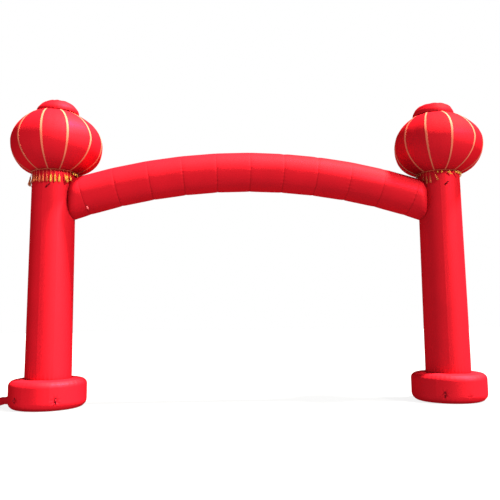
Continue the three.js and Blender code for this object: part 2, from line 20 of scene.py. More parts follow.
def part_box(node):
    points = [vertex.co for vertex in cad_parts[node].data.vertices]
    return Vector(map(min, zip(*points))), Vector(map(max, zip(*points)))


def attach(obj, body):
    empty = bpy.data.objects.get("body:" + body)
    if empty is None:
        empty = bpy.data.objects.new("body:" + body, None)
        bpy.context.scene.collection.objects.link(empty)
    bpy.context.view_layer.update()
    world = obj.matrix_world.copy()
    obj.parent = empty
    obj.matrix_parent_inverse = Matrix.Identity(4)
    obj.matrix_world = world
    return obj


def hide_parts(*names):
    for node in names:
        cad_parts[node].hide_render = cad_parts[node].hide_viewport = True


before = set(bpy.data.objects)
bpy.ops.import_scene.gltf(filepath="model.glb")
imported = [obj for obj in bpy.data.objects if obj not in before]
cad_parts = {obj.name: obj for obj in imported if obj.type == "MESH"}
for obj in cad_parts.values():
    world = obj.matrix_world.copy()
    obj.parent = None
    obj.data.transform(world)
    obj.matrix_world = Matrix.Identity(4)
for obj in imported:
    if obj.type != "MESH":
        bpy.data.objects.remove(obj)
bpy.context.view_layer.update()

Array = np.ndarray
Colour = tuple[float, float, float, float]
Triple = tuple[float, float, float]
TAU = 2 * math.pi
BODY = "root"
COLUMN_SPACING = 6.76
MERGE_DISTANCE = 1e-5
SHARP_EDGE = 50.0
LOG = logging.getLogger("arch")


class Half(Enum):
    """The two halves of the arch."""

    LEFT = "left"
    RIGHT = "right"

    @property
    def x(self) -> float:
        """Where the half's column stands along X."""
        return COLUMN_SPACING if self is Half.RIGHT else 0.0


class Slot(Enum):
    """The record's material slots."""

    CLOTH = "cloth_red"
    RIBBON = "ribbon_gold"
    FRINGE = "fringe_gold"
    WEBBING = "webbing_red"


# ---- Shape helpers ----
def coordinates(*axes: Array | float) -> Array:
    """Arrays stretched to one shape and stacked as coordinates."""
    return np.stack(np.broadcast_arrays(*axes), -1)


def outward(azimuth: Array) -> Array:
    """Unit vectors away from an upright axis: (sin, -cos, 0) of azimuths in radians."""
    return coordinates(np.sin(azimuth), -np.cos(azimuth), 0.0)


def sideways(azimuth: Array) -> Array:
    """Unit vectors along a level circle as the azimuth grows: (cos, sin, 0) of radians."""
    return coordinates(np.cos(azimuth), np.sin(azimuth), 0.0)


def unit(vectors: Array) -> Array:
    """Vectors divided by their lengths."""
    return vectors / np.maximum(np.linalg.norm(vectors, axis=-1, keepdims=True), 1e-12)


def bell(distance: Array, width: float) -> Array:
    """A bump of height 1 at distance 0: exp(-(distance / width) squared)."""
    return np.exp(-((distance / width) ** 2))


def eased(count: int) -> Array:
    """Count shares from 0 to 1, packed towards both ends: half of 1 - cos(pi share)."""
    return 0.5 - 0.5 * np.cos(math.pi * np.linspace(0, 1, count))


def around(count: int) -> Array:
    """Azimuths of count even steps round a full turn, in radians."""
    return np.linspace(0, TAU, count, endpoint=False)


def girth(columns: int, radius: float) -> Array:
    """Metres round a tube at each of its columns and once more at the first: radius times the turn."""
    return np.linspace(0, TAU, columns + 1)[None, :] * radius


def turned_apart(azimuth: Array, other: float) -> Array:
    """The signed difference of two azimuths, within half a turn, in radians."""
    return (azimuth - other + math.pi) % TAU - math.pi


def with_ends(rows: Array) -> Array:
    """Rows with the first and the last given once more, where lids close both ends."""
    return np.concatenate([rows[:1], rows, rows[-1:]])


def lid(ring: Array) -> Array:
    """A row that closes a ring of points: all of it at the ring's middle."""
    return ring.mean(1, keepdims=True) + 0 * ring


def lidded(points: Array) -> Array:
    """Rows of points with a lid at both ends."""
    return np.concatenate([lid(points[:1]), points, lid(points[-1:])])


def corners(rows: int, columns: int, unrolled: bool) -> Array:
    """Corner numbers of the faces between the rows of a tube.

    Args:
        rows: how many rows there are.
        columns: how many faces go round.
        unrolled: whether a row ends with a place of its own, as the flat cloth does, or meets its start.

    Returns:
        Faces by 4, turning anticlockwise.
    """
    width = columns + 1 if unrolled else columns
    here = np.arange(rows - 1)[:, None] * width + np.arange(columns)
    there = np.arange(rows - 1)[:, None] * width + (np.arange(columns) + 1) % width
    return np.stack([here, there, there + width, here + width], -1).reshape(-1, 4)


@dataclass(frozen=True)
class Ripple:
    """Uneven waves over a turn and a length: a sum of sines with seeded counts, phases and heights."""

    seed: int
    lowest: int = 2
    highest: int = 9
    waves: int = 7
    reach: float = 1.0

    def __call__(self, turn: Array, length: Array) -> Array:
        """Heights of about -1 to 1.

        Args:
            turn: angles in radians; the waves close over a full turn.
            length: metres along the piece.

        Returns:
            The sum over the waves of a sin(n turn + m length + p), over the root of their count.
        """
        chance = np.random.default_rng(self.seed)
        total = np.zeros(np.broadcast(turn, length).shape)
        for _ in range(self.waves):
            count = chance.integers(self.lowest, self.highest + 1)
            slope = chance.uniform(-1, 1) * TAU / self.reach
            total += chance.uniform(0.5, 1) * np.sin(count * turn + slope * length + chance.uniform(0, TAU))
        return total / math.sqrt(self.waves)


@dataclass
class Weft:
    """A stretch of mesh: points, faces of four corners, each corner's place on the cloth, and marks.

    A mark is a number at each point that a finish reads: how near a seam is, or how much painted shade the
    yarn has.
    """

    points: Array
    faces: Array
    cloth: Array
    mark: Array

    @classmethod
    def tube(cls, points: Array, cloth: Array, mark: Array) -> "Weft":
        """A surface over a grid whose last column joins the first.

        Args:
            points: rows by columns by 3, turning anticlockwise about the way that the rows follow.
            cloth: places on the cloth in metres, with one column more than the points.
            mark: the mark at each point.

        Returns:
            The stretch, a face to each square of the grid.
        """
        rows, columns = points.shape[:2]
        places = cloth.reshape(-1, 2)[corners(rows, columns, True)]
        mark = np.broadcast_to(mark, points.shape[:2])
        return cls(points.reshape(-1, 3), corners(rows, columns, False), places, mark.reshape(-1))

    @classmethod
    def strands(cls, paths: Array, radii: Array, sides: int, mark: Array) -> "Weft":
        """Many thin tubes at once, each a ring of points carried along its path and closed at both ends.

        Args:
            paths: strands by steps by 3.
            radii: strands by steps.
            sides: how many points a ring has.
            mark: the mark of each even run of strands, in their order.

        Returns:
            The tubes: path + radius (cos across + sin through).
        """
        count, steps = paths.shape[:2]
        way = unit(np.gradient(paths, axis=1))
        level = np.where(np.abs(way[..., 2:]) > 0.9, [1.0, 0.0, 0.0], [0.0, 0.0, 1.0])
        across = unit(np.cross(level, way))
        through = np.cross(way, across)
        turn = around(sides)[:, None]
        ring = np.cos(turn) * across[:, :, None] + np.sin(turn) * through[:, :, None]
        skin = paths[:, :, None] + radii[:, :, None, None] * ring
        caps = [paths[:, end, None] + 0 * ring[:, end] for end in (slice(0, 1), slice(-1, None))]
        points = np.concatenate([caps[0], skin, caps[1]], 1)
        run = np.cumsum(np.linalg.norm(np.diff(paths, axis=1, prepend=paths[:, :1]), axis=-1), axis=1)
        run = np.pad(run, ((0, 0), (1, 1)), mode="edge")
        steps += 2
        cloth = coordinates(girth(sides, float(radii.max())), run[:, :, None])
        places = cloth.reshape(count, -1, 2)[:, corners(steps, sides, True)]
        faces = corners(steps, sides, False) + np.arange(count)[:, None, None] * steps * sides
        marks = np.repeat(mark, points.size // 3 // len(mark))
        return cls(points.reshape(-1, 3), faces.reshape(-1, 4), places.reshape(-1, 4, 2), marks)


# ---- Shader maths ----
@dataclass(frozen=True)
class Wire:
    """A node's output that adds Math nodes when it stands in an expression."""

    bench: "Bench"
    socket: bpy.types.NodeSocket

    def _with(self, operation: str, first: "Wire | float", second: "Wire | float") -> "Wire":
        """A Math node on two values."""
        return self.bench.node("ShaderNodeMath", {"operation": operation}, {0: first, 1: second})

    def __add__(self, other: "Wire | float") -> "Wire":
        """self + other."""
        return self._with("ADD", self, other)

    def __radd__(self, other: float) -> "Wire":
        """other + self."""
        return self._with("ADD", other, self)

    def __sub__(self, other: "Wire | float") -> "Wire":
        """self - other."""
        return self._with("SUBTRACT", self, other)

    def __rsub__(self, other: float) -> "Wire":
        """other - self."""
        return self._with("SUBTRACT", other, self)

    def __mul__(self, other: "Wire | float") -> "Wire":
        """self * other."""
        return self._with("MULTIPLY", self, other)

    def __rmul__(self, other: float) -> "Wire":
        """other * self."""
        return self._with("MULTIPLY", other, self)

    def clipped(self) -> "Wire":
        """The value kept between 0 and 1."""
        return self.bench.node("ShaderNodeClamp", {}, {"Value": self})

    def sharpened(self, gain: float) -> "Wire":
        """The value with its distance from 0.5 multiplied, kept between 0 and 1."""
        return (self * gain + (0.5 - 0.5 * gain)).clipped()

    def sine(self) -> "Wire":
        """The sine of the value, in radians."""
        return self._with("SINE", self, 0.0)


class Bench:
    """A material's node tree while it is put together."""

    def __init__(self, name: str) -> None:
        """Starts an empty material.

        Args:
            name: the material's name.
        """
        self.material = bpy.data.materials.new(name)
        self.material.use_nodes = True
        self.tree = self.material.node_tree
        self.tree.nodes.clear()

    def node(self, kind: str, settings: dict[str, object], values: dict[int | str, object],
             output: int | str = 0) -> Wire:
        """Adds a node.

        Args:
            kind: the node's type.
            settings: its properties; "stops" is a list of (place, value) for a ramp.
            values: constants or wires for its sockets, by name or number.
            output: which output to give back.

        Returns:
            The chosen output.
        """
        node = self.tree.nodes.new(kind)
        for key, value in settings.items():
            if key == "stops":
                ramp = node.color_ramp.elements
                for number, (place, shade) in enumerate(value):
                    stop = ramp[number] if number < len(ramp) else ramp.new(place)
                    stop.position = place
                    stop.color = (shade, shade, shade, 1.0)
            else:
                setattr(node, key, value)
        for key, value in values.items():
            if isinstance(value, Wire):
                self.tree.links.new(value.socket, node.inputs[key])
            else:
                node.inputs[key].default_value = value
        return Wire(self, node.outputs[output])

    def place(self) -> tuple[Wire, Wire]:
        """The place on the cloth.

        Returns:
            Metres across it and metres along it.
        """
        spot = self.node("ShaderNodeUVMap", {"uv_map": "cloth"}, {})
        split = self.node("ShaderNodeSeparateXYZ", {}, {"Vector": spot})
        return split, Wire(self, split.socket.node.outputs["Y"])

    def in_space(self) -> Wire:
        """The place in the object's own space."""
        return self.node("ShaderNodeTexCoord", {}, {}, "Object")

    def at(self, across: Wire | float, along: Wire | float) -> Wire:
        """A vector from two coordinates."""
        return self.node("ShaderNodeCombineXYZ", {}, {"X": across, "Y": along})

    def noise(self, spot: Wire, scale: float, detail: float = 2.0) -> Wire:
        """Smooth noise of 0 to 1 at a place."""
        return self.node("ShaderNodeTexNoise", {}, {"Vector": spot, "Scale": scale, "Detail": detail})

    def waves(self, length: Wire, pitch: float) -> Wire:
        """Waves of -1 to 1 along a length: sin(2 pi length / pitch)."""
        return (length * (TAU / pitch)).sine()

    def mark(self) -> Wire:
        """The mark at each point of the mesh."""
        return self.node("ShaderNodeAttribute", {"attribute_name": "seam"}, {}, "Fac")

    def blend(self, share: Wire, first: object, second: object) -> Wire:
        """A colour between two colours."""
        return self.node("ShaderNodeMix", {"data_type": "RGBA"}, {0: share, 6: first, 7: second}, 2)

    def finish(self, values: dict[str, object], height: Wire, depth: float,
               gloss: dict[str, object] | None = None, share: float = 0.0) -> bpy.types.Material:
        """Closes the tree with a Principled shader and a bump.

        Args:
            values: the shader's sockets.
            height: the bump's height, in units of depth.
            depth: metres for a height of 1.
            gloss: the sockets of a second shader, mixed with the first.
            share: how much of the second shader there is.

        Returns:
            The material.
        """
        bump = self.node("ShaderNodeBump", {}, {"Height": height, "Distance": depth, "Strength": 1.0})
        shader = self.node("ShaderNodeBsdfPrincipled", {}, {**values, "Normal": bump})
        if gloss:
            second = self.node("ShaderNodeBsdfPrincipled", {}, {**gloss, "Normal": bump})
            shader = self.node("ShaderNodeMixShader", {}, {0: share, 1: shader, 2: second})
        end = self.tree.nodes.new("ShaderNodeOutputMaterial")
        self.tree.links.new(shader.socket, end.inputs["Surface"])
        return self.material


@dataclass(frozen=True)
class SatinCloth:
    """Coated polyester: a fine plain weave with a sheen, faintly uneven, darker in its seams and in their
    painted shade.
    """

    name: str = "red_cloth"
    lit: Colour = (0.37, 0.0021, 0.0086, 1.0)
    deep: Colour = (0.32, 0.0017, 0.0074, 1.0)
    seam_and_shade: Colour = (0.12, 0.0008, 0.0024, 1.0)
    seam_share: float = 0.4
    roughness: float = 0.42
    streak_roughness: float = 0.1
    seam_roughness: float = 0.2
    lustre: float = 0.35
    lustre_tint: Colour = (0.5, 0.02, 0.04, 1.0)
    gloss: Colour = (0.05, 0.05, 0.045, 1.0)
    gloss_tint: Colour = (0.0, 0.0, 0.0, 1.0)
    gloss_share: float = 0.105
    gloss_roughness: float = 0.68
    thread: float = 0.0016
    weave_depth: float = 0.00012
    streak_scales: tuple[float, float] = (9.0, 0.9)
    streak_detail: float = 3.0
    streak_height: float = 9.0
    cloud_scale: float = 1.7
    cloud_gain: float = 1.6
    crumple_scale: float = 14.0
    crumple_height: float = 3.0

    def make(self) -> bpy.types.Material:
        """Builds the material.

        Returns:
            The cloth: weave height sin(2 pi u / t) sin(2 pi v / t) with soft creases along its length.
        """
        bench = Bench(self.name)
        across, along = bench.place()
        weave = bench.waves(across, self.thread) * bench.waves(along, self.thread)
        wide, long = self.streak_scales
        streaks = bench.noise(bench.at(across * wide, along * long), 1.0, self.streak_detail)
        clouds = bench.noise(bench.at(across, along), self.cloud_scale)
        crumple = bench.noise(bench.at(across, along), self.crumple_scale)
        plain = bench.blend(clouds.sharpened(self.cloud_gain), self.deep, self.lit)
        seam = bench.mark()
        roughness = self.roughness + (streaks - 0.5) * self.streak_roughness + seam * self.seam_roughness
        return bench.finish({
            # The mark darkens the seams; on the cross tube it also paints shade along the underside.
            "Base Color": bench.blend(seam * self.seam_share, plain, self.seam_and_shade),
            "Roughness": roughness, "Metallic": self.lustre,
            "Specular IOR Level": 0.0, "Specular Tint": self.lustre_tint,
        }, weave + streaks * self.streak_height + crumple * self.crumple_height, self.weave_depth, {
            "Base Color": self.gloss, "Roughness": self.gloss_roughness, "Metallic": 1.0,
            "Specular Tint": self.gloss_tint,
        }, self.gloss_share)


@dataclass(frozen=True)
class SatinRibbon:
    """A satin ribbon: fine ribs along it, a stitched line near each edge and a warm sheen."""

    name: str = "gold_ribbon"
    lit: Colour = (0.38, 0.09, 0.055, 1.0)
    deep: Colour = (0.3, 0.06, 0.034, 1.0)
    roughness: float = 0.5
    uneven_roughness: float = 0.16
    reflection: float = 0.02
    rib: float = 0.0011
    rib_height: float = 0.3
    stitch: float = 0.004
    stitch_line: tuple[tuple[float, float], ...] = ((0.7, 0.0), (0.82, 1.0), (0.94, 0.0))
    stitch_share: float = 0.5
    stitch_sink: float = 1.5
    depth: float = 0.0002
    uneven_scales: tuple[float, float] = (30.0, 4.0)
    uneven_gain: float = 1.4

    def make(self) -> bpy.types.Material:
        """Builds the material, whose mark runs from 0 at the ribbon's middle to 1 at an edge.

        Returns:
            The ribbon: ribs sin(2 pi u / r), and stitches in a line given by a ramp over the mark.
        """
        bench = Bench(self.name)
        across, along = bench.place()
        ribs = bench.waves(across, self.rib)
        stitches = bench.waves(along, self.stitch) * 0.5 + 0.5
        line = bench.node("ShaderNodeValToRGB", {"stops": self.stitch_line}, {"Fac": bench.mark()})
        sewn = bench.node("ShaderNodeRGBToBW", {}, {"Color": line}) * stitches
        wide, long = self.uneven_scales
        uneven = bench.noise(bench.at(across * wide, along * long), 1.0)
        colour = bench.blend(uneven.sharpened(self.uneven_gain), self.deep, self.lit)
        return bench.finish({
            "Base Color": bench.blend(sewn * self.stitch_share, colour, self.deep),
            "Roughness": self.roughness + uneven * self.uneven_roughness,
            "Specular IOR Level": self.reflection,
        }, ribs * self.rib_height - sewn * self.stitch_sink, self.depth)


@dataclass(frozen=True)
class Yarn:
    """Glossy twisted yarn whose threads turn about each strand, darker and redder where shade is painted on
    it.
    """

    name: str = "gold_yarn"
    lit: Colour = (0.6, 0.32, 0.05, 1.0)
    deep: Colour = (0.4, 0.17, 0.02, 1.0)
    # The darker, redder colour painted on yarn that hangs in shade.
    painted_shade: Colour = (0.38, 0.05, 0.025, 1.0)
    roughness: float = 0.5
    mixed_roughness: float = 0.1
    reflection: float = 0.1
    twist: float = 0.004
    depth: float = 0.0003
    mixed_scale: float = 90.0
    mixed_gain: float = 2.4

    def make(self) -> bpy.types.Material:
        """Builds the material, whose mark says how dull the yarn is.

        Returns:
            Builds the material, whose mark says how much painted shade the yarn has.
        """
        bench = Bench(self.name)
        across, along = bench.place()
        lines = bench.waves(across + along, self.twist)
        mixed = bench.noise(bench.in_space(), self.mixed_scale, 1.0)
        bright = bench.blend(mixed.sharpened(self.mixed_gain), self.deep, self.lit)
        return bench.finish({
            "Base Color": bench.blend(bench.mark(), bright, self.painted_shade),
            "Roughness": self.roughness - mixed * self.mixed_roughness,
            "Specular IOR Level": self.reflection,
        }, lines, self.depth)


@dataclass(frozen=True)
class Webbing:
    """Ribbed webbing, a very dark red that is partly painted shade, darker where it is sewn down, and pale
    where a painted highlight lies.
    """

    name: str = "red_webbing"
    # Both reds are darker than the webbing's own red: painted shade.
    lit: Colour = (0.14, 0.002, 0.006, 1.0)
    deep: Colour = (0.05, 0.001, 0.003, 1.0)
    # The pale colour of a painted highlight.
    painted_glint: Colour = (0.7, 0.09, 0.1, 1.0)
    roughness: float = 0.62
    uneven_roughness: float = 0.15
    reflection: float = 0.02
    rib: float = 0.0025
    depth: float = 0.0004
    uneven_scale: float = 60.0
    rib_shade: float = 0.25
    weave_height: float = 0.4

    def make(self) -> bpy.types.Material:
        """Builds the material, whose mark is 1 where it is sewn down, less 1 where a painted highlight makes
        it pale.

        Returns:
            The webbing: ribs sin(2 pi v / r), crossed by a weave of twice their pitch.
        """
        bench = Bench(self.name)
        across, along = bench.place()
        ribs = bench.waves(along, self.rib)
        weave = bench.waves(across, 2 * self.rib)
        uneven = bench.noise(bench.at(across, along), self.uneven_scale)
        mark = bench.mark()
        colour = bench.blend((uneven + ribs * self.rib_shade - mark).clipped(), self.deep, self.lit)
        return bench.finish({
            # A negative mark paints the pale highlight.
            "Base Color": bench.blend((0 - mark).clipped(), colour, self.painted_glint),
            "Roughness": self.roughness + uneven * self.uneven_roughness,
            "Specular IOR Level": self.reflection,
        }, ribs + weave * self.weave_height, self.depth)


@dataclass(frozen=True)
class Paper:
    """The pale floor: matt, with a faint grain and a glow of its own."""

    name: str = "floor_paper"
    shade: float = 0.05
    grain_shade: float = 1.02
    grain_scale: float = 6.0
    grain_depth: float = 0.0002
    roughness: float = 0.9
    glow: float = 0.86

    def make(self) -> bpy.types.Material:
        """Builds the material.

        Returns:
            The floor: noise between two greys.
        """
        bench = Bench(self.name)
        grain = bench.noise(bench.in_space(), self.grain_scale)
        greys = [(grey, grey, grey, 1.0) for grey in (self.shade, self.shade * self.grain_shade)]
        return bench.finish({
            "Base Color": bench.blend(grain, *greys), "Roughness": self.roughness, "Specular IOR Level": 0.0,
            "Emission Color": (1.0, 1.0, 1.0, 1.0), "Emission Strength": self.glow,
        }, grain, self.grain_depth)


# ---- Sewing ----
class Workroom:
    """The arch's finishes, made once, and the sewing of its pieces."""

    def __init__(self) -> None:
        """Makes the finishes."""
        self.finishes = {
            Slot.CLOTH: SatinCloth().make(),
            Slot.RIBBON: SatinRibbon().make(),
            Slot.FRINGE: Yarn().make(),
            Slot.WEBBING: Webbing().make(),
        }

    def sew(self, name: str, node: str, slot: Slot, parts: Sequence[Weft],
            sharp: float | None = SHARP_EDGE) -> bpy.types.Object:
        """Joins stretches of mesh to one piece that stands for a CAD node.

        Args:
            name: the piece's name.
            node: the CAD node that it stands for.
            slot: the record's slot, which also names its finish.
            parts: its stretches of mesh.
            sharp: degrees over which an edge shows sharp, or None for a smooth piece.

        Returns:
            The finished object, at the origin, riding on the body.
        """
        offsets = np.cumsum([0] + [len(part.points) for part in parts[:-1]])
        points = np.concatenate([part.points for part in parts])
        faces = np.concatenate([part.faces + offset for part, offset in zip(parts, offsets)])
        cloth = np.concatenate([part.cloth for part in parts])
        mesh = bpy.data.meshes.new(name)
        mesh.from_pydata(points.tolist(), [], faces.tolist())
        layer = mesh.uv_layers.new(name="cloth")
        layer.data.foreach_set("uv", cloth.reshape(-1).astype(np.float32))
        mark = mesh.attributes.new("seam", "FLOAT", "POINT")
        mark.data.foreach_set("value", np.concatenate([part.mark for part in parts]).astype(np.float32))
        work = bmesh.new()
        work.from_mesh(mesh)
        bmesh.ops.remove_doubles(work, verts=work.verts, dist=MERGE_DISTANCE)
        bmesh.ops.recalc_face_normals(work, faces=work.faces)
        work.to_mesh(mesh)
        work.free()
        mesh.polygons.foreach_set("use_smooth", np.ones(len(mesh.polygons), bool))
        if sharp is not None:
            mesh.set_sharp_from_angle(angle=math.radians(sharp))
        mesh.materials.append(self.finishes[slot])
        piece = bpy.data.objects.new(name, mesh)
        bpy.context.scene.collection.objects.link(piece)
        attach(piece, BODY)
        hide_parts(node)
        LOG.info("%s: %d faces", name, len(mesh.polygons))
        return piece

    def sew_blown_up(self, name: str, node: str, skin: Weft, sharp: float | None = SHARP_EDGE) -> None:
        """Sews a bag of red cloth that air fills.

        Args:
            name: the piece's name.
            node: the CAD node that it stands for.
            skin: the whole bag.
            sharp: degrees over which an edge shows sharp, or None for a smooth bag.
        """
        bag = self.sew(name, node, Slot.CLOTH, [skin], sharp)


# ---- Feet ----
@dataclass(frozen=True)
class Fold:
    """An upright fold in a tube or drum: its azimuth, height off the cloth and width in degrees."""

    azimuth: float
    rise: float
    width: float

    def crest(self, azimuth: Array, stray: float = 0.0) -> Array:
        """The fold's share at an azimuth, sharp at its crest: exp(-distance / width)."""
        apart = turned_apart(azimuth, math.radians(self.azimuth + stray))
        return np.exp(-np.abs(apart) / math.radians(self.width))


@dataclass(frozen=True)
class Dimple:
    """A spot where a loop or a stitch pulls the cloth in and little folds run out from it."""

    azimuth: float
    height: float
    depth: float
    spread: float
    rays: int = 7
    ray_share: float = 0.35

    def pull(self, azimuth: Array, z: Array, radius: float) -> Array:
        """How much the spot draws the cloth in.

        Args:
            azimuth: azimuths in radians.
            z: heights.
            radius: of the drum.

        Returns:
            A bell about the spot, less a ring of rays cos(7 b) round it.
        """
        aside = turned_apart(azimuth, math.radians(self.azimuth)) * radius
        off = np.hypot(aside, z - self.height)
        bearing = np.arctan2(z - self.height, aside)
        ring = bell(off - 1.2 * self.spread, self.spread)
        return bell(off, self.spread) - self.ray_share * np.cos(self.rays * bearing + 1.3) * ring


@dataclass(frozen=True)
class FootDrum:
    """A round foot: flat faces, rolled edges, lumpy walls, and puckers along its two edge seams."""

    half: Half
    lumps: float
    lump_phase: float
    folds: tuple[Fold, ...]
    dimples: tuple[Dimple, ...]
    radius: float = 0.62
    upper_edge: float = 0.1
    lower_edge: float = 0.125
    column_radius: float = 0.375
    face_radii: tuple[float, ...] = (0.0, 0.2, 0.36, 0.374, 0.4, 0.43, 0.46, 0.488)
    roll_rows: int = 15
    wall_rows: int = 17
    columns: int = 300
    seam_share: float = 0.3
    seam_width: float = 0.008
    seam_depth: float = 0.003
    seam_inset: float = 0.02
    seam_fade: float = 0.1
    pucker: float = 0.0022
    pucker_count: int = 46
    pucker_width: float = 0.05
    pucker_groups: Ripple = Ripple(14)
    puff: float = 0.012
    puff_groups: Ripple = Ripple(23, 3, 12)

    @property
    def node(self) -> str:
        """The CAD node that the drum stands for."""
        return f"base_{self.half.value}"

    def profile(self) -> tuple[Array, Array, Array]:
        """The drum's outline from the middle of its underside to the middle of its top.

        Returns:
            Radii, heights and metres along the outline: two faces, two quarter circles and a wall.
        """
        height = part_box(self.node)[1].z
        below, above = self.lower_edge, self.upper_edge
        roll = np.radians(np.linspace(0, 90, self.roll_rows))
        face = np.array(self.face_radii)
        wall = below + (height - below - above) * eased(self.wall_rows)[1:-1]
        radii = [face, self.radius - below + below * np.sin(roll), np.full(wall.shape, self.radius),
                 self.radius - above + above * np.cos(roll), face[::-1]]
        heights = [np.zeros(face.shape), below * (1 - np.cos(roll)), wall,
                   height - above * (1 - np.sin(roll)), np.full(face.shape, height)]
        r, z = np.concatenate(radii), np.concatenate(heights)
        run = np.cumsum(np.hypot(np.diff(r, prepend=r[0]), np.diff(z, prepend=z[0])))
        return r, z, run

    def wall_relief(self, azimuth: Array, z: Array) -> Array:
        """How far the wall stands out from its plain round.

        Args:
            azimuth: azimuths in radians.
            z: heights.

        Returns:
            Lumps (0.6 sin 5a + 0.4 sin 8a) + folds - dimples, fading out over the rolled edges.
        """
        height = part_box(self.node)[1].z
        from_face = np.minimum(z / self.lower_edge, (height - z) / self.upper_edge)
        fade = np.sin(math.pi / 2 * np.clip(from_face, 0, 1))
        polar = azimuth - math.pi / 2
        wave = 0.6 * np.sin(5 * polar + self.lump_phase) + 0.4 * np.sin(8 * polar + 2.3 * self.lump_phase)
        out = self.lumps * wave * fade
        for fold in self.folds:
            lean = 1 + 0.25 * np.sin(7 * z + fold.azimuth)
            out = out + fold.rise * fade * lean * fold.crest(azimuth)
        for spot in self.dimples:
            out = out - spot.depth * fade * spot.pull(azimuth, z, self.radius)
        return out

    def edge_seams(self, azimuth: Array, r: Array, z: Array) -> tuple[Array, Array]:
        """The two seams that lie in the rolled edges.

        Args:
            azimuth: azimuths in radians.
            r: radii, since the seams fade out under the column.
            z: heights.

        Returns:
            Puckers cos(46 a) in uneven groups, and the nearness of the seams' grooves.
        """
        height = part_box(self.node)[1].z
        rim = np.clip((r - self.column_radius - self.seam_inset) / self.seam_fade, 0, 1)
        gather = np.cos(self.pucker_count * azimuth + 2.2 * np.sin(3 * azimuth + self.lump_phase))
        patchy = 0.55 + 0.45 * self.pucker_groups(azimuth, z)
        seams = [self.seam_share * self.lower_edge, height - self.seam_share * self.upper_edge]
        near = sum(bell(z - level, self.pucker_width) for level in seams) * rim
        groove = sum(bell(z - level, self.seam_width) for level in seams) * rim
        return self.pucker * gather * patchy * near, groove

    def top_swell(self, azimuth: Array, r: Array, z: Array) -> Array:
        """How far the top face swells up.

        Args:
            azimuth: azimuths in radians.
            r: radii.
            z: heights, since the underside stays flat.

        Returns:
            Half a sine wave from the column to the rolled edge, made uneven by a ripple.
        """
        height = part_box(self.node)[1].z
        ring = self.radius - self.upper_edge - self.column_radius
        annulus = np.clip((r - self.column_radius) / ring, 0, 1)
        lift = self.puff * np.sin(math.pi * annulus) * (z > height - self.upper_edge / 2)
        return lift * (1 + 0.35 * self.puff_groups(azimuth, r))

    def surface(self) -> Weft:
        """The drum's skin.

        Returns:
            The outline turned about the upright axis, its radius changed by the wall's relief and the
            edge seams, and its top by the swell.
        """
        r, z, run = (row[:, None] for row in self.profile())
        azimuth = around(self.columns)[None, :]
        puckers, groove = self.edge_seams(azimuth, r, z)
        out = self.wall_relief(azimuth, z) + puckers - self.seam_depth * groove
        points = (r + out * (r > self.column_radius))[..., None] * outward(azimuth)
        points = points + coordinates(0, 0, z + self.top_swell(azimuth, r, z))
        points[..., 0] += self.half.x
        return Weft.tube(points, coordinates(girth(self.columns, self.radius), run), groove)

    def build(self, room: Workroom) -> None:
        """Sews the drum."""
        room.sew_blown_up(f"{self.half.value}_foot_drum", self.node, self.surface(), None)


# ---- Columns ----
@dataclass(frozen=True)
class Column:
    """A tapered tube with upright folding creases, gathered a little at its two sewn ends."""

    half: Half
    ripple: Ripple
    creases: tuple[Fold, ...]
    bottom_radius: float = 0.375
    top_radius: float = 0.359
    ripple_height: float = 0.0015
    calm_length: float = 0.25
    gather: float = 0.002
    gather_count: int = 34
    gather_length: float = 0.07
    end_tuck: float = 0.004
    end_tuck_length: float = 0.02
    seam_width: float = 0.008
    highest_out: float = 0.004
    room_at_ends: float = 0.0002
    columns: int = 256
    rows: int = 90
    sharp: float = 40.0

    @property
    def node(self) -> str:
        """The CAD node that the tube stands for."""
        return f"column_{self.half.value}"

    def radius_at(self, height: Array) -> Array:
        """The plain tube's radius.

        Args:
            height: heights above the ground.

        Returns:
            Radii, tapering evenly from the tube's bottom to its top.
        """
        low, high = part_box(self.node)
        share = (height - low.z) / (high.z - low.z)
        return self.bottom_radius + (self.top_radius - self.bottom_radius) * share

    def surface(self) -> Weft:
        """The tube's skin, closed at both ends.

        Returns:
            Radius + creases that fade at the ends + end puckers + a slow ripple.
        """
        low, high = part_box(self.node)
        z = (low.z + (high.z - low.z) * eased(self.rows))[:, None]
        azimuth = around(self.columns)[None, :]
        ends = np.minimum(z - low.z, high.z - z)
        calm = np.clip(ends / self.calm_length, 0, 1)
        out = self.ripple_height * self.ripple(azimuth, z) * calm
        for crease in self.creases:
            stray = 1.5 * math.sin(1.7 * crease.azimuth)
            out = out + crease.rise * calm * crease.crest(azimuth, stray)
        pucker = np.cos(self.gather_count * azimuth + 2.5 * np.sin(2 * azimuth + 0.7))
        tuck = self.end_tuck * np.exp(-ends / self.end_tuck_length)
        out = out + self.gather * pucker * np.exp(-ends / self.gather_length) - tuck
        out = np.minimum(out, self.highest_out * calm + self.room_at_ends)
        body = (self.radius_at(z) + out)[..., None] * outward(azimuth) + coordinates(0, 0, z)
        lids = [np.broadcast_to([0.0, 0.0, level], body.shape[1:])[None] for level in (low.z, high.z)]
        points = np.concatenate([lids[0], body, lids[1]]) + np.array([self.half.x, 0, 0])
        cloth = coordinates(girth(self.columns, self.bottom_radius), with_ends(z))
        return Weft.tube(points, cloth, with_ends(np.exp(-ends / self.seam_width)))

    def build(self, room: Workroom) -> None:
        """Sews the column."""
        room.sew_blown_up(f"{self.half.value}_column_tube", self.node, self.surface(), self.sharp)


# ---- Cross tube ----
@dataclass(frozen=True)
class Dent:
    """A dent beside one of the cross tube's seams: which seam, degrees up from the front, and depth."""

    seam: int
    height: float
    depth: float
    length: float = 0.045
    width: float = 0.12


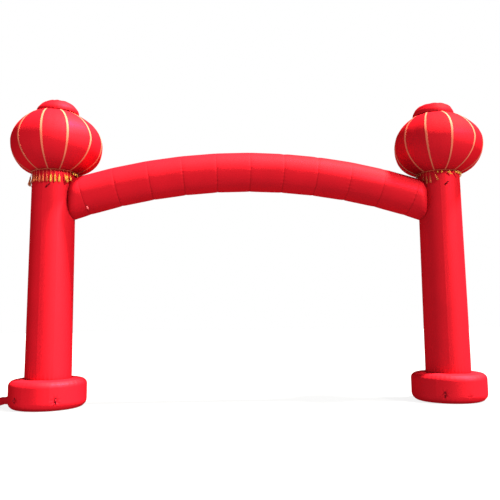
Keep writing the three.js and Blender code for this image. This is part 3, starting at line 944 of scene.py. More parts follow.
@dataclass(frozen=True)
class CrossTube:
    """The bowed tube: straight lengths sewn at mitres, its ends drawn in and cut to fit the columns."""

    columns_by_half: dict[Half, Column]
    bow_radius: float = 9.702
    crown_height: float = 3.969
    crown_shift: float = -0.03
    tube_radius: float = 0.341
    seam_radius: float = 0.336
    seam_pitch: float = 3.42
    seam_offset: float = 0.2
    seams_each_side: int = 5
    seam_dip_length: float = 0.03
    seam_width: float = 0.006
    seam_groove: float = 0.0025
    end_angle: float = 20.35
    end_search_from: float = 15.5
    end_search_steps: int = 400
    end_seam_width: float = 0.008
    end_groove: float = 0.002
    end_groove_width: float = 0.012
    end_pucker: float = 0.003
    end_pucker_count: int = 26
    end_pucker_length: float = 0.05
    lid_shares: tuple[float, ...] = (0.02, 0.3, 0.7, 1.0)
    neck_full: float = 0.455
    neck_narrow: float = 0.3
    neck_share: float = 0.56
    seat_gap: float = 0.0012
    facets: int = 240
    rows_per_length: int = 18
    pucker: float = 0.002
    pucker_count: int = 30
    pucker_length: float = 0.04
    ripple: Ripple = Ripple(41, 3, 9, reach=1.4)
    ripple_height: float = 0.0012
    dents: tuple[Dent, ...] = (Dent(1, 72.0, 0.007), Dent(2, 64.0, 0.009), Dent(4, 70.0, 0.004))

    @property
    def bow_centre(self) -> Array:
        """The middle of the bow's circle."""
        return np.array([COLUMN_SPACING / 2 + self.crown_shift, 0, self.crown_height - self.bow_radius])

    def marks(self) -> Array:
        """Where the straight lengths end.

        Returns:
            Bow angles of the two ends and the seams between, in degrees.
        """
        steps = np.arange(-self.seams_each_side, self.seams_each_side + 1)
        seams = self.seam_offset + steps * self.seam_pitch
        return np.concatenate([[-self.end_angle], seams, [self.end_angle]])

    def spoke(self, angle: Array) -> Array:
        """Unit vectors from the bow's middle at angles in degrees: (sin, 0, cos)."""
        return coordinates(np.sin(np.radians(angle)), 0.0, np.cos(np.radians(angle)))

    def bow(self, angle: Array) -> Array:
        """Points of the bow at angles in degrees."""
        return self.bow_centre + self.bow_radius * self.spoke(angle)

    def neck(self, x: Array) -> Array:
        """How much of its width the tube has at a place along X.

        Args:
            x: places along X.

        Returns:
            1, and towards a column a quarter circle down to the share that is left there.
        """
        from_column = np.minimum(np.abs(x), np.abs(COLUMN_SPACING - x))
        part = np.clip((from_column - self.neck_narrow) / (self.neck_full - self.neck_narrow), 0, 1)
        return self.neck_share + (1 - self.neck_share) * np.sqrt(1 - (1 - part) ** 2)

    def below(self, turn: Array) -> Array:
        """1 on the tube's underside and 0 on its upper side, where the cloth pulls smooth: by tanh. It also
        puts the painted seam shade on the underside.
        """
        return 0.5 - 0.5 * np.tanh(3 * np.sin(turn))

    def seam_with_painted_shade(self, off: Array, width: float, turn: Array) -> Array:
        """How dark a seam is painted at a distance from it: a bell, with painted shade that makes it strong
        on the underside and faint on the upper side.
        """
        return bell(off, width) * (0.15 + 0.85 * self.below(turn))

    def radius_near(self, angle: Array, turn: Array, off: Array, nearest: Array) -> Array:
        """The tube's radius.

        Args:
            angle: bow angles in degrees.
            turn: angles about the tube from the back, over the top, in radians.
            off: metres from the nearest seam.
            nearest: that seam's number.

        Returns:
            The plain radius, dipping at a seam with puckers cos(30 t) there, less the dents.
        """
        below = self.below(turn)
        dip = (self.tube_radius - self.seam_radius) * np.exp(-off / self.seam_dip_length)
        dip = (dip + self.seam_groove * bell(off, self.seam_width)) * (0.3 + 0.7 * below)
        phase = 2.1 * nearest
        gather = np.cos(self.pucker_count * turn + phase + 2.5 * np.sin(2 * turn + phase))
        patchy = 0.6 + 0.5 * np.sin(3 * turn + 1.7 * phase)
        pucker = self.pucker * below * gather * patchy * np.exp(-off / self.pucker_length)
        run = np.radians(angle) * self.bow_radius
        radius = self.tube_radius - dip + pucker
        radius = radius + self.ripple_height * self.ripple(turn, run)
        seams = self.marks()[1:-1]
        for dent in self.dents:
            along = np.radians(angle - seams[self.seams_each_side + dent.seam]) * self.bow_radius
            aside = turned_apart(turn, math.radians(180 - dent.height)) * self.tube_radius
            radius = radius - dent.depth * bell(along, dent.length) * bell(aside, dent.width)
        return radius

    def skin(self, angle: Array, turn: Array) -> tuple[Array, Array]:
        """Points of the tube.

        Args:
            angle: bow angles in degrees.
            turn: angles about the tube from the back, over the top, in radians.

        Returns:
            Points centre + radius (cos turn back + sin turn rise), and how dark a seam is painted, strongest
            on the underside as painted shade. The centre runs straight between two marks.
        """
        marks = self.marks()
        angle, turn = np.broadcast_arrays(angle, turn)
        length = np.clip(np.searchsorted(marks, angle, side="right") - 1, 0, len(marks) - 2)
        part = ((angle - marks[length]) / (marks[length + 1] - marks[length]))[..., None]
        centre = self.bow(marks[length]) * (1 - part) + self.bow(marks[length + 1]) * part
        nearest = np.abs(angle[..., None] - marks[1:-1]).argmin(-1)
        off = np.radians(np.abs(angle - marks[1:-1][nearest])) * self.bow_radius
        radius = self.radius_near(angle, turn, off, nearest)
        points = centre + radius[..., None] * np.sin(turn)[..., None] * self.spoke(angle)
        points[..., 1] = radius * np.cos(turn) * self.neck(points[..., 0])
        return points, self.seam_with_painted_shade(off, self.seam_width, turn)

    def cut(self, half: Half, turn: Array) -> Array:
        """Where each line of the tube meets a column.

        Args:
            half: which column.
            turn: angles about the tube in radians.

        Returns:
            Bow angles in degrees, found on a fine row of angles and worked out between two of them.
        """
        sign = 1 if half is Half.RIGHT else -1
        angles = sign * np.linspace(self.end_search_from, self.end_angle, self.end_search_steps)
        points, _ = self.skin(angles[:, None], turn[None, :])
        reach = np.hypot(points[..., 0] - half.x, points[..., 1])
        clear = reach - self.columns_by_half[half].radius_at(points[..., 2]) - self.seat_gap
        first = (clear < 0).argmax(0)
        column = np.arange(len(turn))
        before, after = clear[first - 1, column], clear[first, column]
        share = before / (before - after)
        return angles[first - 1] + share * (angles[first] - angles[first - 1])

    def end_lid(self, half: Half, rim: Array) -> Array:
        """Rows that close an end on the column's round.

        Args:
            half: which column.
            rim: the end's rim.

        Returns:
            The rim drawn in to its middle step by step, each row set off the column by the seat's gap.
        """
        share = np.array(self.lid_shares)[:, None, None]
        rows = rim[None] * (1 - share) + rim.mean(0) * share
        laid = rows[:-1]
        laid[..., 0] -= half.x
        reach = self.columns_by_half[half].radius_at(laid[..., 2]) + self.seat_gap
        laid[..., :2] *= (reach / np.hypot(laid[..., 0], laid[..., 1]))[..., None]
        laid[..., 0] += half.x
        rows[-1] = rows[-2].mean(0)
        return rows

    def angles(self, turn: Array) -> Array:
        """Bow angles of the tube's rows.

        Args:
            turn: angles about the tube in radians.

        Returns:
            Rows by columns, in degrees: packed towards each seam, and cut to the columns at both ends.
        """
        marks = self.marks()
        share = eased(self.rows_per_length + 1)
        spans = [start + (end - start) * share[:-1] for start, end in zip(marks[1:-2], marks[2:-1])]
        inner = np.concatenate(spans)[:, None] + 0 * turn
        first, last = self.cut(Half.LEFT, turn), self.cut(Half.RIGHT, turn)
        left = first + (marks[1] - first) * share[:-1, None]
        right = marks[-2] + (last - marks[-2]) * share[:, None]
        return np.concatenate([left, inner, right])

    def surface(self) -> Weft:
        """The tube's skin from one column to the other, closed at both ends.

        Returns:
            The skin, with puckers cos(26 t) and a groove where it is sewn to a column.
        """
        turn = around(self.facets)
        angle = self.angles(turn)
        points, seam = self.skin(angle, turn[None, :])
        from_end = np.minimum(angle - angle[:1], angle[-1:] - angle)
        off = np.radians(from_end) * self.bow_radius
        # The ends are painted darker where the tube meets a column, more on the underside: painted shade in
        # the crease.
        seam = np.maximum(seam, self.seam_with_painted_shade(off, self.end_seam_width, turn[None, :]))
        gather = np.cos(self.end_pucker_count * turn + 2 * np.sin(3 * turn))
        pucker = gather * np.exp(-off / self.end_pucker_length) * self.end_pucker
        groove = self.end_groove * bell(off, self.end_groove_width)
        inwards = (pucker - groove) * (off > 0.001)
        points = points + inwards[..., None] * coordinates(0, np.cos(turn), np.sin(turn))
        before = self.end_lid(Half.LEFT, points[0])[::-1]
        after = self.end_lid(Half.RIGHT, points[-1])
        points = np.concatenate([before, points, after])
        ends = ((len(before), len(after)), (0, 0))
        run = np.pad(np.radians(angle) * self.bow_radius, ends, mode="edge")
        run = np.concatenate([run, run[:, :1]], 1)
        cloth = coordinates(girth(self.facets, self.tube_radius), run)
        return Weft.tube(points, cloth, np.pad(seam, ends, constant_values=1.0))

    def build(self, room: Workroom) -> None:
        """Sews the cross tube."""
        room.sew_blown_up("bowed_cross_tube", "arch_beam", self.surface())


# ---- Lanterns ----
@dataclass(frozen=True)
class Stray:
    """How far a gore seam strays from even spacing at its foot, middle and top, in degrees."""

    seam: int
    foot: float
    middle: float
    top: float


@dataclass(frozen=True)
class Lantern:
    """Twelve gores about an upright axis, a puffed collar on top and a ribbon over each seam."""

    half: Half
    shift: float
    belly_shift: float
    crown_shift: float
    collar_shift: float
    first_seam: float
    strays: tuple[Stray, ...]
    collar_height: float
    collar_exponent: float
    collar_fold: float
    gores: int = 12
    radius: float = 0.766
    equator: float = 4.445
    seat: float = 3.935
    seat_radius: float = 0.388
    lower_exponent: float = 2.3
    upper_exponent: float = 1.86
    gore_crown: float = 0.012
    gather: float = 0.004
    gather_length: float = 0.07
    slack: float = 0.0016
    slack_seed: int = 50
    seam_width: float = 0.01
    rows_each_way: int = 30
    columns_per_gore: int = 14
    collar_radius: float = 0.341
    collar_overhang: float = 0.013
    collar_seat: float = 4.988
    collar_gap: float = 0.0003
    collar_narrowing: float = 0.1
    collar_swell: float = 0.01
    collar_dish: float = 0.012
    collar_pucker: float = 0.005
    collar_pucker_count: int = 31
    collar_slope: float = 1.4
    collar_rows: int = 34
    collar_columns: int = 216
    ribbon_widths: Triple = (0.016, 0.036, 0.026)
    ribbon_lift: float = 0.0007
    ribbon_thickness: float = 0.0018
    ribbon_crown: float = 0.4
    ribbon_ripple: float = 0.0012
    ribbon_stop: float = 1.98
    ribbon_columns: int = 9

    def rows(self) -> tuple[Array, Array, Array]:
        """Rows of a gore seam from the seat to the collar.

        Returns:
            Radii, heights, and parts that run from 0 at the seat to 1 at the equator to 2 at the collar.
            Below and above the equator the outline is a superellipse.
        """
        share = np.linspace(0, 1, self.rows_each_way + 1)

        def curve(exponent: float, end_radius: float, end_height: float) -> tuple[Array, Array]:
            """A superellipse from the equator to an end.

            Args:
                exponent: the superellipse's exponent.
                end_radius: the radius at the end.
                end_height: the height there.

            Returns:
                Radii and heights: R cos(t)^(2/n) and D sin(t)^(2/n) off the equator.
            """
            end = math.acos((end_radius / self.radius) ** (exponent / 2))
            depth = (end_height - self.equator) / math.sin(end) ** (2 / exponent)
            reach = self.radius * np.cos(end * share) ** (2 / exponent)
            return reach, self.equator + depth * np.sin(end * share) ** (2 / exponent)

        low = curve(self.lower_exponent, self.seat_radius, self.seat)
        high = curve(self.upper_exponent, self.collar_radius, self.collar_seat)
        radius, height = (np.concatenate([below[::-1], above[1:]]) for below, above in zip(low, high))
        return radius, height, np.concatenate([1 - share[::-1], 1 + share[1:]])

    def azimuth(self, seam: int, part: Array) -> Array:
        """A gore seam's azimuth along its rows.

        Args:
            seam: the seam's number.
            part: places from the seat to the collar, 0 to 2.

        Returns:
            Azimuths in radians: even spacing and the seam's own stray.
        """
        stray = next((row for row in self.strays if row.seam == seam % self.gores), Stray(seam, 0, 0, 0))
        drift = np.interp(part, [0, 1, 2], [stray.foot, stray.middle, stray.top])
        return np.radians(self.first_seam + 360 / self.gores * seam + drift)

    def ribbon_width(self, part: Array) -> Array:
        """A ribbon's width along a seam."""
        return np.interp(part, [0, 1, 2], self.ribbon_widths)

    def axis(self, part: Array) -> Array:
        """The lantern's axis, which leans.

        Args:
            part: places from the seat to the collar, 0 to 2.

        Returns:
            Places along X: from the seat out to the belly, then over to the crown.
        """
        belly = self.belly_shift * np.sin(math.pi / 2 * np.minimum(1, part))
        above = np.clip(part - 1, 0, None) ** 2
        return self.half.x + self.shift + belly * (1 - above) + self.crown_shift * above

    def gore(self, seam: int, radius: Array, height: Array, part: Array) -> tuple[Array, Array]:
        """One gore, about the lantern's axis.

        Args:
            seam: the number of the seam that it starts from.
            radius: the rows' radii.
            height: their heights.
            part: their places from the seat to the collar, 0 to 2.

        Returns:
            Level points: the chord between two seams + a crown 1 - (2w - 1)^2 outwards + puckers near
            the ends + a slow ripple. And each point's metres across the cloth.
        """
        half_width = self.ribbon_width(part)[..., None] / 2
        across = eased(self.columns_per_gore + 1)[None, :]
        ends = np.minimum(height - self.seat, self.collar_seat - height)
        here, there = self.azimuth(seam, part), self.azimuth(seam + 1, part)
        start = radius[..., None] * outward(here) + half_width * sideways(here)
        end = radius[..., None] * outward(there) - half_width * sideways(there)
        chord = start * (1 - across[..., None]) + end * across[..., None]
        inside = np.sin(math.pi * across)
        crown = self.gore_crown * radius / self.radius * (1 - (2 * across - 1) ** 2)
        folds = np.cos(TAU * across * (3 + seam % 2) + seam) * inside
        tight = self.gather * folds * np.exp(-ends / self.gather_length)
        slack = self.slack * Ripple(self.slack_seed + seam, 1, 4, reach=0.8)(across * 4, height) * inside
        points = chord + (crown + tight + slack)[..., None] * outward((here + there) / 2)
        return points, (across - 0.5) * 2 * radius * math.sin(math.pi / self.gores) + seam

    def surface(self) -> Weft:
        """The lantern's skin.

        Returns:
            The gores side by side with flat seams between them, and a lid at each end.
        """
        radius, height, part = (row[:, None] for row in self.rows())
        gores = [self.gore(seam, radius, height, part) for seam in range(self.gores)]
        points = np.concatenate([points for points, _ in gores], 1)
        points = points + coordinates(self.axis(part), 0, height)
        across = np.concatenate([places for _, places in gores], 1)
        across = np.concatenate([across, across[:, -1:] + self.ribbon_width(part)], 1)
        run = np.cumsum(np.hypot(np.gradient(radius[:, 0]), np.gradient(height[:, 0])))[:, None]
        ends = np.minimum(height - self.seat, self.collar_seat - height)
        seam = with_ends(np.exp(-ends / self.seam_width))
        return Weft.tube(lidded(points), with_ends(coordinates(across, run)), seam)

    def ribbon(self, seam: int) -> Weft:
        """One ribbon.

        Args:
            seam: the number of the seam that it covers.

        Returns:
            A crowned strip, square to the seam's outline, with a slow ripple along its edges.
        """
        radius, height, part = self.rows()
        kept = part <= self.ribbon_stop
        radius, height, part = radius[kept], height[kept], part[kept]
        azimuth = self.azimuth(seam, part)
        slope = np.arctan2(np.gradient(height), np.gradient(radius))
        normal = np.sin(slope)[:, None] * outward(azimuth) - np.cos(slope)[:, None] * np.array([0, 0, 1.0])
        seat = radius[:, None] * outward(azimuth) + coordinates(self.axis(part), 0, height)
        half_width = self.ribbon_width(part)[:, None] / 2
        run = np.cumsum(np.hypot(np.gradient(radius), np.gradient(height)))[:, None]
        across = np.linspace(-1, 1, self.ribbon_columns)[None, :]
        ripple = self.ribbon_ripple * np.sin(19 * run + seam) * across**2
        thickness = self.ribbon_thickness * (1 + self.ribbon_crown * (1 - across**2))
        top = self.ribbon_lift + thickness + np.abs(ripple)
        place = np.concatenate([across, across[:, ::-1]], 1)
        off = np.concatenate([top, np.full(top.shape, self.ribbon_lift)], 1)
        points = seat[:, None] + (half_width * place)[..., None] * sideways(azimuth)[:, None]
        points = lidded(points + off[..., None] * normal[:, None])[:, ::-1]
        wide = np.concatenate([place, place[:, :1]], 1)[:, ::-1]
        cloth = coordinates(wide * with_ends(half_width), with_ends(run))
        return Weft.tube(points, cloth, np.abs(place[:, ::-1]))

    def collar(self) -> Weft:
        """The collar: a superellipse of revolution, narrower upwards, with folds that deepen to its rim.

        Returns:
            Radius (1 - 0.1 t) (1 - t^n)^(1/n) drawn in by folds that grow with the height squared.
        """
        rise = np.sin(np.linspace(0, math.pi / 2, self.collar_rows))[:, None]
        full = (1 - rise**self.collar_exponent) ** (1 / self.collar_exponent)
        azimuth = around(self.collar_columns)[None, :]
        wander = 0.9 * np.sin(2 * azimuth + self.first_seam) + 0.5 * np.sin(5 * azimuth)
        wave = np.cos(self.gores * azimuth + wander)
        folds = (0.5 + 0.5 * wave) ** 2 * rise**2 * (0.7 + 0.5 * np.sin(3 * azimuth + 1))
        small = np.cos(self.collar_pucker_count * azimuth + 2 * np.sin(azimuth)) * np.exp(-rise / 0.12)
        base = (self.collar_radius + self.collar_overhang) * (1 - self.collar_narrowing * rise)
        swell = self.collar_swell * np.sin(math.pi * np.clip(2 * rise, 0, 1))
        radius = (base + swell) * full * (1 - self.collar_fold * folds) * (1 - self.collar_pucker * small)
        dish = -self.collar_dish * (1 - full) * wave * rise**4 * (1 - np.exp(-full / 0.08))
        height = self.collar_seat + self.collar_gap + self.collar_height * rise + dish
        points = radius[..., None] * outward(azimuth)
        points = points + coordinates(self.axis(2.0) + self.collar_shift, 0, height)
        points = np.concatenate([lid(points[:1]), points])
        run = np.concatenate([rise[:1], rise]) * self.collar_height * self.collar_slope
        seam = np.concatenate([np.ones((1, 1)), np.exp(-rise / 0.05)])
        return Weft.tube(points, coordinates(girth(self.collar_columns, self.collar_radius), run), seam)

    def build(self, room: Workroom) -> None:
        """Sews the lantern, its collar and its ribbons.

        Args:
            room: where they are sewn.
        """
        side = self.half.value
        room.sew_blown_up(f"{side}_lantern_gores", f"lantern_{side}", self.surface())
        room.sew_blown_up(f"{side}_lantern_collar", f"collar_{side}", self.collar())
        for seam in range(self.gores):
            number = f"{seam + 1:02d}"
            strip = [self.ribbon(seam)]
            room.sew(f"{side}_gold_ribbon_{number}", f"ribbon_{side}_{number}", Slot.RIBBON, strip)


# ---- Fringe ----
@dataclass(frozen=True)
class Hang:
    """How tassels hang over a stretch of azimuths: sway in degrees from plumb towards +X, and the share of
    painted shade on their yarn.
    """

    start: float
    end: float
    sway: float
    reach: float
    bunched: bool = False
    painted_shade: float = 0.0


@dataclass(frozen=True)
class Tassel:
    """Sizes of a tassel that hangs by its cord, or of one bunched up under the braid.

    head_start and skirt_end are metres below its root, and skirt_below is how far below the head's start
    the skirt begins. The others are half widths, the skirt's at its end.
    """

    head_start: float
    skirt_below: float
    skirt_end: float
    head_radius: float
    skirt_half: float


@dataclass(frozen=True)
class Fringe:
    """A ring of twisted braid under a lantern and its tassels: a cord, a bound head and loose threads."""

    lantern: Lantern
    tube: CrossTube
    hangs: tuple[Hang, ...]
    hanging: Tassel = Tassel(0.086, 0.016, 0.222, 0.0105, 0.0195)
    bunched: Tassel = Tassel(0.012, 0.0072, 0.052, 0.0085, 0.014)
    tassels_per_gore: int = 3
    braid_gap: float = 0.0003
    braid_width: float = 0.009
    braid_height: float = 0.014
    braid_strands: int = 3
    braid_winds: int = 96
    braid_steps: int = 721
    braid_share: float = 0.3
    braid_yarn: float = 0.0029
    braid_sides: int = 6
    step: float = 0.004
    steps_beyond: int = 3
    bend: float = 0.3
    clearance: float = 0.003
    slide_out: float = 0.8
    root_half: float = 0.006
    end_half: float = 0.019
    cord_length: float = 0.09
    cord_pitch: float = 0.018
    cord_offset: float = 0.0017
    cord_yarn: float = 0.0021
    cord_steps: int = 26
    cord_sides: int = 5
    head_length: float = 0.022
    head_steps: int = 13
    head_sides: int = 9
    head_binding: float = 0.18
    skirt_depth_share: float = 0.62
    skirt_neck_share: float = 0.35
    skirt_trim: float = 0.12
    skirt_wave: float = 0.0012
    threads: int = 30
    thread_radius: float = 0.0015
    thread_taper: tuple[float, ...] = (1, 1, 1, 1, 1, 1, 0.9, 0.0)
    thread_sides: int = 4
    thread_seed: int = 5

    @property
    def centre(self) -> Array:
        """The middle of the ring's upper face."""
        lantern = self.lantern
        return np.array([lantern.half.x + lantern.shift, 0, lantern.seat - self.braid_gap])

    @property
    def ring_radius(self) -> float:
        """The braid's middle radius."""
        return self.lantern.seat_radius - self.braid_width / 2

    def placed(self) -> tuple[Array, list[Hang]]:
        """Where the tassels are.

        Returns:
            Each tassel's azimuth in degrees and how it hangs.
        """
        count = self.lantern.gores * self.tassels_per_gore
        azimuth = (self.lantern.first_seam + 360 / count * np.arange(count) + 180) % 360 - 180
        return azimuth, [next(h for h in self.hangs if h.start <= a < h.end) for a in azimuth]

    def off_tube(self, points: Array, clearance: Array) -> tuple[Array, Array, Array]:
        """Pushes points out of the cross tube.

        Args:
            points: the points.
            clearance: how far off the cloth each has to be.

        Returns:
            The points, whether each was inside, and the way out there: square to the tube's round, whose
            width is the neck's share of its height.
        """
        share = self.tube.neck(points[:, 0])
        plain = points.copy()
        plain[:, 1] /= share
        spoke = plain - self.tube.bow_centre
        spoke[:, 1] = 0
        centre = self.tube.bow_centre + unit(spoke) * self.tube.bow_radius
        normal = plain - centre
        reach = self.tube.tube_radius + clearance
        inside = np.linalg.norm(normal, axis=1) < reach
        normal = unit(normal)
        pushed = np.where(inside[:, None], centre + normal * reach[:, None], plain)
        pushed[:, 1] *= share
        normal[:, 1] /= share
        return pushed, inside, unit(normal)

    def off_column(self, points: Array, clearance: Array) -> Array:
        """Pushes points out of the column below the lantern.

        Args:
            points: the points.
            clearance: how far off the cloth each has to be.

        Returns:
            The points, moved straight away from the column's axis where they were too near.
        """
        half = self.lantern.half
        pushed = points.copy()
        spread = np.hypot(points[:, 0] - half.x, points[:, 1])
        grow = np.maximum(1, (self.tube.columns_by_half[half].top_radius + clearance) / spread)
        pushed[:, 0] = half.x + (points[:, 0] - half.x) * grow
        pushed[:, 1] *= grow
        return pushed

    def paths(self) -> tuple[Array, Array]:
        """Where the tassels lie, marched step by step for all of them at once.

        Returns:
            Paths, tassels by steps by 3, and each tassel's reach. In the air a step turns towards the
            hanging direction; on the cross tube it slides down and outwards along the cloth.
        """
        azimuth, hangs = self.placed()
        sway = np.radians([hang.sway for hang in hangs])
        reach = np.array([hang.reach for hang in hangs])
        free = coordinates(np.sin(sway), 0, -np.cos(sway))
        away = outward(np.radians(azimuth))
        down = np.array([0, 0, -1.0])
        way = np.repeat(down[None], len(azimuth), 0)
        path = [self.centre + self.ring_radius * away + down * (self.braid_height / 2)]
        length = self.hanging.skirt_end
        for number in range(1, int(length / self.step) + self.steps_beyond):
            share = np.clip(number * self.step / (length * reach), 0, 1)
            half = self.root_half + (self.end_half - self.root_half) * share
            room = self.clearance + half * math.sqrt(2)
            way = unit(way + (free - way) * self.bend)
            point, inside, normal = self.off_tube(path[-1] + way * self.step, room)
            slide = down + away * self.slide_out
            slide = unit(slide - (slide * normal).sum(1, keepdims=True) * normal)
            way = np.where(inside[:, None], slide, way)
            laid, _, _ = self.off_tube(path[-1] + way * self.step, room)
            point = np.where(inside[:, None], laid, point)
            path.append(self.off_column(point, self.clearance + half))
        return np.stack(path, 1), reach

    def along(self, paths: Array, distance: Array) -> Array:
        """Points part of the way down each path, always short of its last step.

        Args:
            paths: the tassels' paths.
            distance: metres from their roots, tassels by places.

        Returns:
            The points, worked out between two steps.
        """
        place = np.clip(distance / self.step, 0, paths.shape[1] - 1.001)
        low = place.astype(int)
        row = np.arange(len(paths))[:, None]
        share = (place - low)[..., None]
        return paths[row, low] * (1 - share) + paths[row, low + 1] * share

    def braid(self) -> Weft:
        """The ring of braid.

        Returns:
            Three strands wound about a circle: radius R + a cos(n p + k), height b sin(n p + k).
        """
        turn = np.linspace(0, TAU, self.braid_steps)[None, :]
        phase = TAU / self.braid_strands * np.arange(self.braid_strands)[:, None]
        wind = self.braid_winds * turn + phase
        radius = self.ring_radius + self.braid_share * self.braid_width * np.cos(wind)
        level = -self.braid_height / 2 + self.braid_share * self.braid_height * np.sin(wind)
        paths = self.centre + radius[..., None] * outward(turn) + coordinates(0, 0, level)
        # The braid is all in painted shade: its mark of 1 gives it the yarn's shaded colour.
        return Weft.strands(paths, np.full(paths.shape[:2], self.braid_yarn), self.braid_sides, np.ones(1))

    def cords(self, paths: Array, azimuth: Array, reach: Array) -> Weft:
        """The cords of the hanging tassels: two threads twisted round each path.

        Args:
            paths: those tassels' paths.
            azimuth: their azimuths in radians.
            reach: their reaches.

        Returns:
            Path + offset (cos w beside + sin w away), w growing by a turn for each pitch.
        """
        run = np.linspace(0, 1, self.cord_steps)[None, :] * self.cord_length * reach[:, None]
        middle = self.along(paths, run)
        away = outward(azimuth)[:, None]
        beside = np.cross(away, np.array([0, 0, 1.0]))
        wind = run * TAU / self.cord_pitch
        twists = []
        for phase in (0.0, math.pi):
            shift = np.cos(wind + phase)[..., None] * beside + np.sin(wind + phase)[..., None] * away
            twists.append(middle + self.cord_offset * shift)
        both = np.concatenate(twists)
        # The cords are all in painted shade too: their mark of 1 gives them the shaded colour.
        return Weft.strands(both, np.full(both.shape[:2], self.cord_yarn), self.cord_sides, np.ones(1))

    def heads(self, paths: Array, start: Array, size: Array, painted_shade: Array) -> Weft:
        """The bound heads: round beads a little longer than wide, with grooves from the binding.

        Args:
            paths: the tassels' paths.
            start: distances at which the heads begin.
            size: the heads' radii.
            painted_shade: how much painted shade each tassel's yarn has.

        Returns:
            Radius size sqrt(1 - (2s - 1)^2), less a share where cos^2(5 pi s) is high.
        """
        share = np.linspace(0, 1, self.head_steps)[None, :]
        run = start[:, None] + share * self.head_length
        bead = np.sqrt(np.clip(1 - (2 * share - 1) ** 2, 0, 1))
        bulge = bead * (1 - self.head_binding * np.cos(5 * math.pi * share) ** 2)
        return Weft.strands(self.along(paths, run), size[:, None] * bulge, self.head_sides, painted_shade)

    def skirts(self, paths: Array, azimuth: Array, span: tuple[Array, Array], width: Array,
               painted_shade: Array) -> Weft:
        """The loose threads: each runs from its head and spreads with its own share of the skirt's width.

        Args:
            paths: the tassels' paths.
            azimuth: their azimuths in radians.
            span: distances at which the skirts begin and end.
            width: half widths at the skirts' ends.
            painted_shade: how much painted shade each tassel's yarn has.

        Returns:
            Path + half width (cos b beside + 0.62 sin b away), wider with the square root of the way down.
        """
        chance = np.random.default_rng(self.thread_seed)
        count = len(paths)
        bearing = chance.uniform(0, TAU, (count, self.threads))[..., None]
        out = np.sqrt(chance.uniform(0.02, 1, (count, self.threads)))[..., None]
        trim = 1 - self.skirt_trim * chance.uniform(0, 1, (count, self.threads, 1)) ** 2
        share = np.linspace(0, 1, len(self.thread_taper))
        start, end = (distance[:, None, None] for distance in span)
        run = start + (end - start) * trim * share
        middle = self.along(paths, run.reshape(count, -1)).reshape(*run.shape, 3)
        spread = self.skirt_neck_share + (1 - self.skirt_neck_share) * np.sqrt(share)
        flare = width[:, None, None] * out * spread
        wave = self.skirt_wave * np.sin(TAU * share * 1.3 + 5 * bearing) * share
        lean = (flare * np.cos(bearing) + wave)[..., None] * sideways(azimuth)[:, None, None]
        through = self.skirt_depth_share * (flare * np.sin(bearing))[..., None]
        lean = lean + through * outward(azimuth)[:, None, None]
        points = (middle + lean).reshape(-1, len(share), 3)
        radii = self.thread_radius * np.broadcast_to(np.array(self.thread_taper), points.shape[:2])
        return Weft.strands(points, radii, self.thread_sides, painted_shade)

    def build(self, room: Workroom) -> None:
        """Ties the fringe: the braid, the cords, the bound heads and the skirts.

        Args:
            room: where it is tied.
        """
        paths, reach = self.paths()
        azimuth, hangs = self.placed()
        azimuth = np.radians(azimuth)
        free = np.array([not hang.bunched for hang in hangs])
        # Tassels that hang in the lantern's shadow get painted shade.
        painted_shade = np.array([hang.painted_shade for hang in hangs])
        sizes = [astuple(self.hanging if loose else self.bunched) for loose in free]
        head_start, skirt_below, skirt_end, head_radius, skirt_half = np.array(sizes).T
        start = head_start * reach
        parts = [
            self.braid(),
            self.cords(paths[free], azimuth[free], reach[free]),
            self.heads(paths, start, head_radius, painted_shade),
            self.skirts(paths, azimuth, (start + skirt_below, skirt_end * reach), skirt_half, painted_shade),
        ]
        side = self.lantern.half.value
        room.sew(f"{side}_gold_fringe", f"fringe_{side}", Slot.FRINGE, parts, None)


